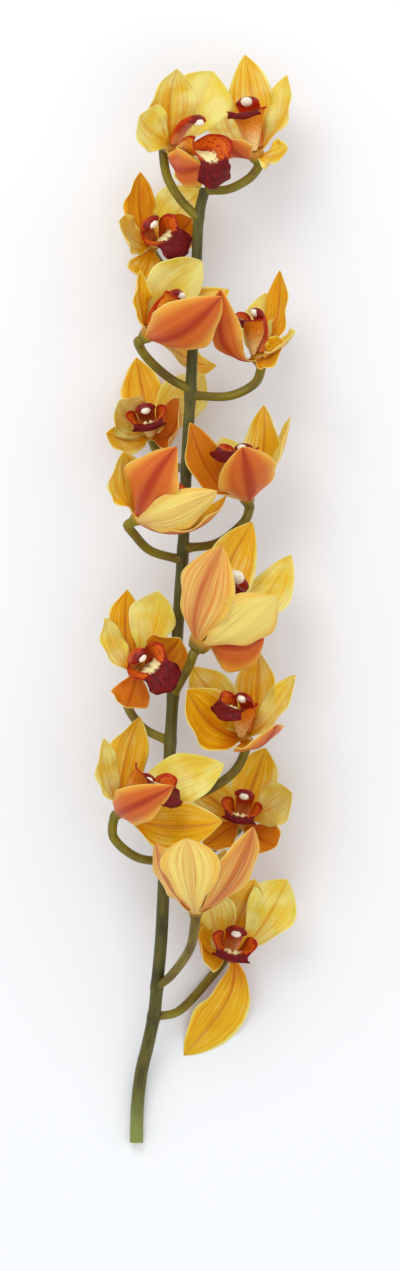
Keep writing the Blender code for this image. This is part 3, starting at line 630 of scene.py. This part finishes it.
def add_piece(name, points, faces, material, point_values, face_values, node):
    """One smooth mesh object that stands for a node of the frame."""
    points = np.array(points)
    points[:, 2] = np.maximum(points[:, 2], 0.0)
    mesh = bpy.data.meshes.new(name)
    mesh.from_pydata(points.tolist(), [], [list(face) for face in faces])
    for domain, values in (("POINT", point_values), ("FACE", face_values)):
        for label, numbers in values.items():
            layer = mesh.attributes.new(label, "FLOAT", domain)
            layer.data.foreach_set("value", np.asarray(numbers, dtype=np.float32))
    work = bmesh.new()
    work.from_mesh(mesh)
    bmesh.ops.recalc_face_normals(work, faces=work.faces)
    work.to_mesh(mesh)
    work.free()
    mesh.shade_smooth()
    mesh.materials.append(material)
    piece = bpy.data.objects.new(name, mesh)
    bpy.context.scene.collection.objects.link(piece)
    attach(piece, BODY)
    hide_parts(node)
    return piece


# Pieces.


def add_tepals(bloom, materials):
    """Five blades with waved edges, a grooved midrib inside and its keel outside."""
    golds = GOLD[bloom.name]
    blushes = BLUSH.get(bloom.name, USUAL_BLUSH)
    words = ("dorsal_sepal", "left_petal", "right_petal", "left_sepal", "right_sepal")
    rows = TEPAL_ROWS + 1
    columns = TEPAL_COLUMNS + 1
    share = np.linspace(0, 1, rows)[:, None]
    across = np.linspace(-1, 1, columns)[None, :]
    for number, grid in enumerate(tepal_sheets(bloom, TEPAL_ROWS, TEPAL_COLUMNS)):
        normals = -sheet_normals(grid)
        seed = 0.37 * number + 0.11 * bloom.x + 0.07 * bloom.y
        wave = np.abs(across) ** 3 * np.sin(EDGE_WAVE_TURNS * share + 1.4 * np.sign(across) + seed)
        wave = wave * np.sin(np.pi * share) * EDGE_WAVE
        buckle = np.sin(BUCKLE_TURNS * share + seed) * across ** 2 * np.sin(np.pi * share) * BUCKLE
        pleat = np.sin(PLEAT_TURNS * across + seed) * np.sin(np.pi * share) * PLEAT
        wave = wave + buckle + pleat
        grid = grid + normals * wave[:, :, None]
        grid[:, :, 2] = np.maximum(grid[:, :, 2], REST_HEIGHT)
        thin = (1 - EDGE_THINNING * np.abs(across) ** 3) * (1 - TIP_THINNING * share ** 4)
        half = 0.5 * BLADE_THICKNESS * thin
        rib = (1 - 0.6 * share) * np.minimum(share * 8, 1)
        inner = half - MIDRIB_GROOVE * bump_shape(across, 0, 0.07) * rib
        outer = half + MIDRIB_KEEL * bump_shape(across, 0, 0.10) * rib
        points, faces, side = blade_mesh(grid, normals, inner, outer)
        along_values, across_values = blade_places(rows, columns)
        values = {"along": along_values, "across": across_values,
                  "gold": np.full(len(points), golds[number]),
                  "blush": np.full(len(points), blushes[number]),
                  "seed": np.full(len(points), seed)}
        add_piece("%s_%s" % (bloom.name, words[number]), points, faces, materials["tepal"], values,
                  {"inner": side}, bloom.name + "_tepals")


def add_lip(bloom, materials):
    """One blade with two cream ridges along its trough."""
    rows = LIP_ROWS + 1
    columns = LIP_COLUMNS + 1
    grid = lip_grid(bloom, LIP_ROWS, LIP_COLUMNS)
    normals = sheet_normals(grid)
    share = np.linspace(0, 1, rows)[:, None]
    across = np.linspace(-1, 1, columns)[None, :]
    half = 0.5 * BLADE_THICKNESS * (1 - 0.5 * np.abs(across) ** 3) * np.ones_like(share)
    ridge = bump_shape(np.abs(across), CALLUS_ASIDE, CALLUS_SPAN)
    reach = np.clip((share - CALLUS_START) / 0.08, 0, 1) * np.clip((CALLUS_END - share) / 0.10, 0, 1)
    inner = half + CALLUS_HEIGHT * bloom.lip_size * ridge * reach
    points, faces, side = blade_mesh(grid, normals, inner, half)
    along_values, across_values = blade_places(rows, columns)
    values = {"along": along_values, "across": across_values,
              "seed": np.full(len(points), 0.13 * bloom.x + 0.05 * bloom.y)}
    add_piece(bloom.name + "_lip_blade", points, faces, materials["lip"], values, {"inner": side},
              bloom.name + "_lip")


def column_line(bloom, rings):
    """Centre line of the arched column from its foot, clear of the seat, to its head."""
    face, up, _ = bloom_axes(bloom)
    size = bloom.size
    foot = spot(bloom.x, bloom.y, bloom.z) + face * (SEAT_FRONT * size + FIT_GAP) + up * COLUMN_RISE * size
    line = [foot]
    step = COLUMN_LENGTH * size / COLUMN_STEPS
    for angle in np.linspace(COLUMN_HEADING_FOOT, COLUMN_HEADING_HEAD, COLUMN_STEPS) + bloom.column:
        line.append(line[-1] + step * (face * math.cos(angle) + up * math.sin(angle)))
    picks = np.linspace(0, COLUMN_STEPS, rings + 1)
    whole = np.arange(COLUMN_STEPS + 1)
    line = np.array(line)
    return np.stack([np.interp(picks, whole, line[:, axis]) for axis in range(3)], axis=1)


def add_column(bloom, materials):
    """Arched club with a flattened underside and a rounded head."""
    face, up, _ = bloom_axes(bloom)
    line = column_line(bloom, COLUMN_RINGS)
    share = np.linspace(0, 1, COLUMN_RINGS + 1)
    growth = COLUMN_HALF_WIDTH_HEAD - COLUMN_HALF_WIDTH_FOOT
    half_width = COLUMN_HALF_WIDTH_FOOT + growth * share ** COLUMN_TAPER
    close = np.sqrt(np.clip(1 - ((share - COLUMN_ROUND) / COLUMN_ROUND_SPAN) ** 2, 0.02, 1))
    half_width = half_width * bloom.size * np.where(share > COLUMN_ROUND, close, 1.0)
    depth = COLUMN_DEPTH / COLUMN_HALF_WIDTH_HEAD
    flats = [(1.0, depth * (1.25 - 0.1 * s), depth * 0.45) for s in share]
    points, faces, along, around = tube_mesh(line, half_width, COLUMN_SIDES, flats, up, face)
    values = {"along": along, "around": around, "seed": np.full(len(points), 0.19 * bloom.x)}
    add_piece(bloom.name + "_column_body", points, faces, materials["column"], values, {},
              bloom.name + "_column")


def add_cap(bloom, materials):
    """Anther cap: a small two-lobed dome hanging over the column's end."""
    _, up, _ = bloom_axes(bloom)
    line = column_line(bloom, COLUMN_STEPS)
    end = line[-1]
    heading = unit(line[-1] - line[-4])
    above = unit(up - np.dot(up, heading) * heading)
    radius = CAP_RADIUS * bloom.size
    centre = end - heading * CAP_SINK - above * 0.5 * CAP_SINK
    stations = np.linspace(-1, 1, CAP_RINGS + 1)
    line = [centre + heading * radius * 1.05 * math.sin(0.5 * math.pi * s) for s in stations]
    radii = np.array([radius * max(math.cos(0.5 * math.pi * s), 0.03) for s in stations])
    angle = 2 * math.pi * np.arange(CAP_SIDES) / CAP_SIDES
    groove = 1 - CAP_GROOVE * bump_shape(np.sin(angle), 0, 0.25) * (np.cos(angle) > 0)
    points, faces, along, around = tube_mesh(line, radii[:, None] * groove[None, :], CAP_SIDES,
                                             [CAP_FLATS] * len(radii), above)
    add_piece(bloom.name + "_anther_cap", points, faces, materials["cap"],
              {"along": along, "around": around}, {}, bloom.name + "_column")


def add_stalk(bloom, materials):
    """Flower stalk that runs into the ribbed ovary and ends in the seat under the tepals."""
    face = bloom_axes(bloom)[0]
    size = bloom.size
    seat = spot(bloom.x, bloom.y, bloom.z)
    end = seat - face * (SEAT_BACK * size + FIT_GAP)
    points = [spot(*point) for point in bloom.stalk] + [end - face * STALK_NECK, end]
    line = smooth_line(points, STALK_RINGS + 1)
    share = np.linspace(0, 1, STALK_RINGS + 1)
    radii = STALK_RADIUS_NODE + (STALK_RADIUS_SEAT - STALK_RADIUS_NODE) * share
    radii = radii * (1 + STALK_FLARE * bump_shape(share, 0, STALK_FLARE_SPAN))
    reaches = np.linspace(0, SEAT_BACK + FIT_GAP + SEAT_FRONT, SEAT_RINGS)[1:]
    seat_line = [end + face * reach * size for reach in reaches]
    swell = np.interp(reaches / reaches[-1], SEAT_SHARES, SEAT_SWELL)
    line = np.vstack([line, seat_line])
    radii = np.concatenate([radii, SEAT_RADIUS * size * swell])
    sides = np.arange(STALK_SIDES) * 2 * math.pi / STALK_SIDES
    lengths = np.linspace(0, 1, len(line))
    ribs = STALK_RIB_DEPTH * np.cos(STALK_RIBS * sides[None, :] + 2.5 * lengths[:, None])
    ribs = ribs * np.clip((lengths - 0.35) / 0.3, 0, 1)[:, None]
    points, faces, along, around = tube_mesh(line, radii[:, None] * (1 + ribs), STALK_SIDES,
                                             last_heading=face)
    values = {"along": along, "around": around, "seed": np.full(len(points), 0.23 * bloom.x)}
    add_piece(bloom.name + "_stalk", points, faces, materials["stalk"], values, {}, "stem")


def add_bract(bloom, materials):
    """Small papery scale leaf under the foot of a flower stalk."""
    foot = spot(*bloom.stalk[0])
    way = unit(spot(*bloom.stalk[1]) - foot)
    upward = np.array([0.0, 1.0, 0.0])
    outward = unit(way + BRACT_UPWARD * upward)
    root = foot - upward * BRACT_DROP + way * BRACT_OUT
    shape = Tepal(0, 0, 0, *BRACT_SHAPE)
    tip = root + outward * BRACT_LENGTH
    grid = tepal_grid(root, outward, upward, BRACT_LIFT, tip, BRACT_HALF_WIDTH, shape, BRACT_ROWS,
                      BRACT_COLUMNS)
    half = np.full(grid.shape[:2], 0.5 * BRACT_THICKNESS)
    points, faces, side = blade_mesh(grid, -sheet_normals(grid), half, half)
    along_values, across_values = blade_places(BRACT_ROWS + 1, BRACT_COLUMNS + 1)
    add_piece(bloom.name + "_bract", points, faces, materials["bract"],
              {"along": along_values, "across": across_values}, {"inner": side}, "stem")


def add_stem(materials):
    """Ribbed stem, a little thicker at each node."""
    line = smooth_line([spot(*point) for point in STEM_LINE], STEM_RINGS + 1)
    share = np.linspace(0, 1, STEM_RINGS + 1)
    radii = STEM_RADIUS_FOOT + (STEM_RADIUS_TIP - STEM_RADIUS_FOOT) * share
    for bloom in BLOOMS:
        foot = spot(*bloom.stalk[0])
        nearest = share[np.argmin(np.linalg.norm(line - foot, axis=1))]
        radii = radii * (1 + NODE_SWELL * bump_shape(share, nearest, NODE_SPAN))
    sides = np.arange(STEM_SIDES) * 2 * math.pi / STEM_SIDES
    ribs = STEM_RIB_DEPTH * np.cos(STEM_RIBS * sides[None, :] + 1.5 * share[:, None])
    points, faces, along, around = tube_mesh(line, radii[:, None] * (1 + ribs), STEM_SIDES)
    values = {"along": along, "around": around, "seed": np.zeros(len(points))}
    add_piece("stem_skin", points, faces, materials["stem"], values, {}, "stem")


# Materials.


def srgb(red, green, blue):
    """Linear colour of a display colour given in 0 to 255."""
    parts = []
    for part in (red, green, blue):
        part = part / 255
        parts.append(part / 12.92 if part <= 0.04045 else ((part + 0.055) / 1.055) ** 2.4)
    return (*parts, 1.0)


class Graph:
    """Short calls for the nodes of one material."""

    def __init__(self, name):
        self.material = bpy.data.materials.new(name)
        self.material.use_nodes = True
        self.tree = self.material.node_tree
        self.shader = self.tree.nodes["Principled BSDF"]

    def feed(self, socket, value):
        if isinstance(value, bpy.types.NodeSocket):
            self.tree.links.new(value, socket)
        else:
            socket.default_value = value

    def read(self, name):
        node = self.tree.nodes.new("ShaderNodeAttribute")
        node.attribute_name = name
        return node.outputs["Fac"]

    def math(self, operation, first, second=0.0):
        node = self.tree.nodes.new("ShaderNodeMath")
        node.operation = operation
        self.feed(node.inputs[0], first)
        self.feed(node.inputs[1], second)
        return node.outputs[0]

    def times(self, first, second):
        return self.math("MULTIPLY", first, second)

    def plus(self, first, second):
        return self.math("ADD", first, second)

    def ramp(self, value, low, high, start=0.0, end=1.0):
        """Value eased from start at low to end at high."""
        node = self.tree.nodes.new("ShaderNodeMapRange")
        node.interpolation_type = "SMOOTHSTEP"
        self.feed(node.inputs["Value"], value)
        self.feed(node.inputs["From Min"], low)
        self.feed(node.inputs["From Max"], high)
        self.feed(node.inputs["To Min"], start)
        self.feed(node.inputs["To Max"], end)
        return node.outputs["Result"]

    def mix(self, share, first, second):
        node = self.tree.nodes.new("ShaderNodeMix")
        node.data_type = "RGBA"
        self.feed(node.inputs["Factor"], share)
        self.feed(node.inputs[6], first)
        self.feed(node.inputs[7], second)
        return node.outputs[2]

    def place(self, x, y, z):
        node = self.tree.nodes.new("ShaderNodeCombineXYZ")
        self.feed(node.inputs[0], x)
        self.feed(node.inputs[1], y)
        self.feed(node.inputs[2], z)
        return node.outputs[0]

    def noise(self, place, scale, detail=3.0, distortion=0.0):
        node = self.tree.nodes.new("ShaderNodeTexNoise")
        if place is not None:
            self.feed(node.inputs["Vector"], place)
        self.feed(node.inputs["Scale"], scale)
        self.feed(node.inputs["Detail"], detail)
        self.feed(node.inputs["Distortion"], distortion)
        return node.outputs["Fac"]

    def object_place(self):
        node = self.tree.nodes.new("ShaderNodeTexCoord")
        return node.outputs["Object"]

    def finish(self, colour, roughness, height=None, depth=0.0003, specular=0.5, flesh=0.0,
               flesh_radius=(1.0, 0.5, 0.2)):
        self.feed(self.shader.inputs["Base Color"], colour)
        self.feed(self.shader.inputs["Roughness"], roughness)
        self.feed(self.shader.inputs["Specular IOR Level"], specular)
        self.feed(self.shader.inputs["Subsurface Weight"], flesh)
        self.feed(self.shader.inputs["Subsurface Radius"], flesh_radius)
        self.feed(self.shader.inputs["Subsurface Scale"], 0.0015)
        if height is not None:
            bump = self.tree.nodes.new("ShaderNodeBump")
            self.feed(bump.inputs["Strength"], 0.6)
            self.feed(bump.inputs["Distance"], depth)
            self.feed(bump.inputs["Height"], height)
            self.tree.links.new(bump.outputs["Normal"], self.shader.inputs["Normal"])
        return self.material


def tepal_material():
    graph = Graph("tepal_skin")
    along = graph.read("along")
    across = graph.read("across")
    inner = graph.read("inner")
    gold = graph.read("gold")
    blush = graph.read("blush")
    seed = graph.read("seed")
    aside = graph.math("ABSOLUTE", across)
    bend = graph.times(across, 7.0)
    flow = graph.times(along, 1.3)
    broad = graph.noise(graph.place(bend, flow, seed), 1.0, 2.0)
    streak = graph.noise(graph.place(graph.times(across, 15.0), flow, seed), 1.0, 2.0, 0.2)
    fine = graph.noise(graph.place(graph.times(across, 34.0), flow, seed), 1.0, 2.0, 0.3)
    cloud = graph.noise(graph.object_place(), 70.0, 2.0)
    midrib = graph.ramp(aside, 0.015, 0.13, 1.0, 0.0)
    foot = graph.ramp(along, 0.0, 0.42, 1.0, 0.0)
    edge = graph.ramp(aside, 0.80, 1.0)

    depth = graph.plus(graph.times(gold, 0.85), graph.times(foot, 0.5))
    depth = graph.plus(depth, graph.times(graph.math("SUBTRACT", broad, 0.5), 0.9))
    depth = graph.plus(depth, graph.times(graph.math("SUBTRACT", streak, 0.5), 0.8))
    depth = graph.plus(depth, graph.times(graph.math("SUBTRACT", cloud, 0.5), 0.5))
    depth = graph.math("SUBTRACT", depth, graph.times(edge, 0.45))
    pale = graph.mix(graph.ramp(cloud, 0.35, 0.65), srgb(*PALE_YELLOW), srgb(*WARM_YELLOW))
    inside = graph.mix(graph.ramp(depth, 0.0, 0.60), pale, srgb(*AMBER))
    inside = graph.mix(graph.ramp(depth, 0.45, 1.25), inside, srgb(*DEEP_GOLD))
    vein = graph.times(graph.ramp(fine, 0.52, 0.70), graph.plus(gold, 0.25))
    inside = graph.mix(graph.times(vein, 0.6), inside, srgb(*VEIN_GOLD))
    inside = graph.mix(graph.ramp(blush, 1.1, 2.1), inside, srgb(*OUTER_ORANGE))
    line = graph.times(midrib, graph.plus(graph.times(gold, 0.65), 0.08))
    inside = graph.mix(line, inside, srgb(*MIDRIB_INNER))

    blushed = graph.plus(blush, graph.times(graph.math("SUBTRACT", broad, 0.5), 1.1))
    blushed = graph.plus(blushed, graph.times(graph.math("SUBTRACT", streak, 0.5), 0.8))
    blushed = graph.math("SUBTRACT", blushed, graph.times(edge, 0.35))
    outside = graph.mix(graph.ramp(blushed, -0.1, 0.9), srgb(*OUTER_YELLOW), srgb(*OUTER_ORANGE))
    outside = graph.mix(graph.times(foot, 0.35), outside, srgb(*OUTER_PINK))
    red = graph.times(graph.ramp(aside, 0.02, 0.34, 1.0, 0.0), graph.plus(blush, 0.25))
    outside = graph.mix(graph.times(red, 0.75), outside, srgb(*OUTER_RED))
    outside = graph.mix(graph.ramp(fine, 0.54, 0.72, 0.0, 0.45), outside, srgb(*OUTER_RED))
    outside = graph.mix(graph.times(graph.ramp(aside, 0.50, 0.98), 0.75), outside, srgb(*OUTER_EDGE))

    colour = graph.mix(inner, outside, inside)
    rim = graph.ramp(graph.math("ABSOLUTE", graph.math("SUBTRACT", inner, 0.5)), 0.0, 0.3, 1.0, 0.0)
    rim = graph.math("MAXIMUM", rim, graph.ramp(aside, 0.955, 0.99))
    colour = graph.mix(graph.times(rim, 0.75), colour, srgb(*RIM_CREAM))
    grain = graph.noise(graph.object_place(), 900.0, 2.0)
    height = graph.plus(graph.times(fine, 0.8), grain)
    rough = graph.ramp(cloud, 0.3, 0.7, 0.38, 0.5)
    return graph.finish(colour, rough, height, 0.0004, 0.2, 0.45, (1.0, 0.6, 0.12))


def lip_material():
    graph = Graph("lip_skin")
    along = graph.read("along")
    across = graph.read("across")
    inner = graph.read("inner")
    seed = graph.read("seed")
    aside = graph.math("ABSOLUTE", across)
    place = graph.place(graph.times(across, 9.0), graph.times(along, 16.0), seed)
    ragged = graph.noise(place, 1.0, 3.0)
    spots = graph.noise(graph.place(graph.times(across, 22.0), graph.times(along, 30.0), seed), 1.0, 1.0)
    shift = graph.times(graph.math("SUBTRACT", ragged, 0.5), 0.22)
    front = graph.ramp(graph.plus(along, shift), 0.585, 0.62)
    lobe_red = graph.ramp(graph.plus(aside, graph.times(shift, 1.5)), 0.84, 1.0)
    deep = graph.ramp(graph.plus(along, shift), 0.05, 0.30)
    base = graph.mix(deep, srgb(*LOBE_ORANGE), srgb(*THROAT_RED))
    base = graph.mix(graph.ramp(graph.plus(aside, shift), 0.30, 0.62), base, srgb(*LOBE_GLOW))
    base = graph.mix(lobe_red, base, srgb(*LOBE_RED))
    speck = graph.times(graph.ramp(spots, 0.56, 0.62), graph.ramp(aside, 0.12, 0.45))
    base = graph.mix(graph.times(speck, 0.75), base, srgb(*SPECK_RED))
    maroon = graph.mix(graph.ramp(ragged, 0.35, 0.7), srgb(*LIP_DARK), srgb(*LIP_MAROON))
    inside = graph.mix(front, base, maroon)
    ridge = graph.ramp(graph.math("ABSOLUTE", graph.math("SUBTRACT", aside, 0.17)), 0.07, 0.16, 1.0, 0.0)
    ridge = graph.times(ridge, graph.ramp(along, 0.60, 0.66, 1.0, 0.0))
    torn = graph.times(shift, 2.2)
    patch = graph.ramp(graph.plus(aside, torn), 0.34, 0.46, 1.0, 0.0)
    patch = graph.times(patch, graph.ramp(graph.plus(along, torn), 0.36, 0.44))
    patch = graph.times(patch, graph.ramp(graph.plus(along, shift), 0.575, 0.60, 1.0, 0.0))
    ridge = graph.math("MAXIMUM", ridge, patch)
    inside = graph.mix(ridge, inside, srgb(*CALLUS_CREAM))
    outer_base = graph.mix(graph.ramp(graph.plus(along, shift), 0.08, 0.42), srgb(*LIP_PEACH),
                           srgb(*LOBE_ORANGE))
    outer_base = graph.mix(graph.times(graph.ramp(spots, 0.58, 0.64), 0.45), outer_base,
                           srgb(*SPECK_RED))
    rim_red = graph.ramp(graph.plus(aside, shift), 0.78, 0.98)
    outer_base = graph.mix(rim_red, outer_base, srgb(*LOBE_RED))
    outside = graph.mix(front, outer_base, srgb(*LIP_OUTER))
    colour = graph.mix(graph.ramp(inner, 0.2, 0.6), outside, inside)
    fuzz = graph.noise(graph.object_place(), 1400.0, 2.0)
    return graph.finish(colour, 0.5, fuzz, 0.0003, 0.15, 0.1, (1.0, 0.3, 0.2))


def column_material():
    graph = Graph("column_skin")
    along = graph.read("along")
    around = graph.read("around")
    cloud = graph.noise(graph.object_place(), 260.0, 3.0)
    shift = graph.times(graph.math("SUBTRACT", cloud, 0.5), 0.4)
    warm = graph.ramp(graph.plus(along, shift), 0.05, 0.55)
    colour = graph.mix(warm, srgb(*COLUMN_ORANGE), srgb(*COLUMN_RED))
    # Towards its head the column turns dark red, deepened as painted shade where the anther cap hangs over
    # it.
    colour = graph.mix(graph.ramp(graph.plus(along, shift), 0.80, 1.0), colour, srgb(*COLUMN_TIP_RED_AND_CAP_SHADE))
    under = graph.ramp(around, -0.75, -0.35, 1.0, 0.0)
    under = graph.times(under, graph.ramp(graph.plus(along, shift), 0.15, 0.55, 1.0, 0.0))
    colour = graph.mix(graph.times(under, 0.7), colour, srgb(*COLUMN_UNDER))
    return graph.finish(colour, 0.34, cloud, 0.0002, 0.25, 0.15, (1.0, 0.3, 0.1))


def cap_material():
    graph = Graph("anther_cap_skin")
    cloud = graph.noise(graph.object_place(), 700.0, 3.0)
    colour = graph.mix(graph.ramp(cloud, 0.3, 0.75), srgb(*CAP_CREAM), srgb(*CAP_SHADE))
    return graph.finish(colour, 0.4, cloud, 0.0002, 0.5, 0.25, (1.0, 0.8, 0.5))


def skin_material(name, light, dark, scale):
    """Green skin with fine lengthwise lines, and the parts of it that its users build on."""
    graph = Graph(name)
    along = graph.read("along")
    around = graph.read("around")
    seed = graph.read("seed")
    lines = graph.noise(graph.place(graph.times(around, 9.0), graph.times(along, scale), seed), 1.0, 3.0)
    cloud = graph.noise(graph.object_place(), 45.0, 3.0)
    share = graph.ramp(graph.plus(graph.times(lines, 0.5), graph.times(cloud, 0.6)), 0.38, 0.72)
    colour = graph.mix(share, srgb(*light), srgb(*dark))
    return graph, along, lines, cloud, colour


def stem_material():
    graph, along, lines, cloud, colour = skin_material("stem_green_skin", STEM_GREEN, STEM_DARK, 40.0)
    foot = graph.ramp(graph.plus(along, graph.times(cloud, 0.02)), 0.012, 0.10, 1.0, 0.0)
    colour = graph.mix(graph.times(foot, 0.6), colour, srgb(*STEM_PALE))
    colour = graph.mix(graph.ramp(along, 0.0, 0.0015, 1.0, 0.0), colour, srgb(*CUT_CREAM))
    return graph.finish(colour, 0.42, lines, 0.0003, 0.3, 0.1, (0.6, 1.0, 0.3))


def stalk_material():
    graph, along, lines, _, colour = skin_material("stalk_olive_skin", STALK_OLIVE, STALK_BROWN, 7.0)
    seat = graph.ramp(along, 0.86, 0.95)
    colour = graph.mix(graph.times(seat, 0.8), colour, srgb(*SEAT_YELLOW))
    return graph.finish(colour, 0.4, lines, 0.0003, 0.3, 0.12, (0.8, 1.0, 0.3))


def bract_material():
    graph = Graph("bract_papery_skin")
    along = graph.read("along")
    across = graph.read("across")
    lines = graph.noise(graph.place(graph.times(across, 12.0), along, 0.0), 1.0, 2.0)
    colour = graph.mix(graph.ramp(lines, 0.35, 0.7), srgb(*BRACT_TAN), srgb(*BRACT_BROWN))
    return graph.finish(colour, 0.6, lines, 0.0002, 0.4, 0.1)


def floor_material():
    graph = Graph("floor_paper")
    cloud = graph.noise(graph.object_place(), 3.0, 4.0)
    colour = graph.mix(cloud, srgb(*FLOOR_PALE), srgb(*FLOOR_SHADE))
    return graph.finish(colour, 0.85)


# Stage.


def add_floor():
    mesh = bpy.data.meshes.new("floor")
    corners = [(x * FLOOR_HALF, y * FLOOR_HALF, 0) for x, y in ((-1, -1), (1, -1), (1, 1), (-1, 1))]
    mesh.from_pydata(corners, [], [(0, 1, 2, 3)])
    mesh.materials.append(floor_material())
    floor = bpy.data.objects.new("floor", mesh)
    bpy.context.scene.collection.objects.link(floor)


def add_light(name, place, size, power, colour):
    """Round area light that points at the middle of the plan."""
    data = bpy.data.lights.new(name, "AREA")
    data.shape = "DISK"
    data.size = size
    data.energy = power
    data.color = colour
    light = bpy.data.objects.new(name, data)
    bpy.context.scene.collection.objects.link(light)
    light.location = place
    light.rotation_euler = (-Vector(place)).to_track_quat("-Z", "Y").to_euler()


def add_world():
    world = bpy.data.worlds.new("studio")
    bpy.context.scene.world = world
    world.use_nodes = True
    background = world.node_tree.nodes["Background"]
    background.inputs["Color"].default_value = WORLD_COLOUR
    background.inputs["Strength"].default_value = WORLD_STRENGTH


def add_camera():
    """Long lens straight above; the picture's middle is in the middle and its pixels fall on the plan."""
    data = bpy.data.cameras.new("camera")
    data.sensor_fit = "VERTICAL"
    data.sensor_height = CAMERA_SENSOR
    data.lens = CAMERA_SENSOR * CAMERA_DISTANCE / (PICTURE_HEIGHT * PIXEL)
    data.clip_end = CAMERA_FAR
    camera = bpy.data.objects.new("camera", data)
    bpy.context.scene.collection.objects.link(camera)
    middle = spot(PICTURE_WIDTH / 2, PICTURE_HEIGHT / 2, MIDDLE_HEIGHT)
    camera.location = middle + CAMERA_DISTANCE * UPWARD
    camera.rotation_euler = (0, 0, 0)
    bpy.context.scene.camera = camera


def set_tones():
    """Plain tone curve, so that the colours come out as they are named."""
    bpy.context.scene.view_settings.view_transform = "Standard"


def build():
    materials = {
        "tepal": tepal_material(), "lip": lip_material(), "column": column_material(),
        "cap": cap_material(), "stem": stem_material(), "stalk": stalk_material(),
        "bract": bract_material(),
    }
    add_stem(materials)
    for bloom in BLOOMS:
        add_tepals(bloom, materials)
        add_lip(bloom, materials)
        add_column(bloom, materials)
        add_cap(bloom, materials)
        add_stalk(bloom, materials)
        add_bract(bloom, materials)
    add_floor()
    add_light("key", KEY_PLACE, KEY_SIZE, KEY_POWER, KEY_COLOUR)
    add_light("overhead", OVERHEAD_PLACE, OVERHEAD_SIZE, OVERHEAD_POWER, OVERHEAD_COLOUR)
    add_world()
    add_camera()
    set_tones()


build()
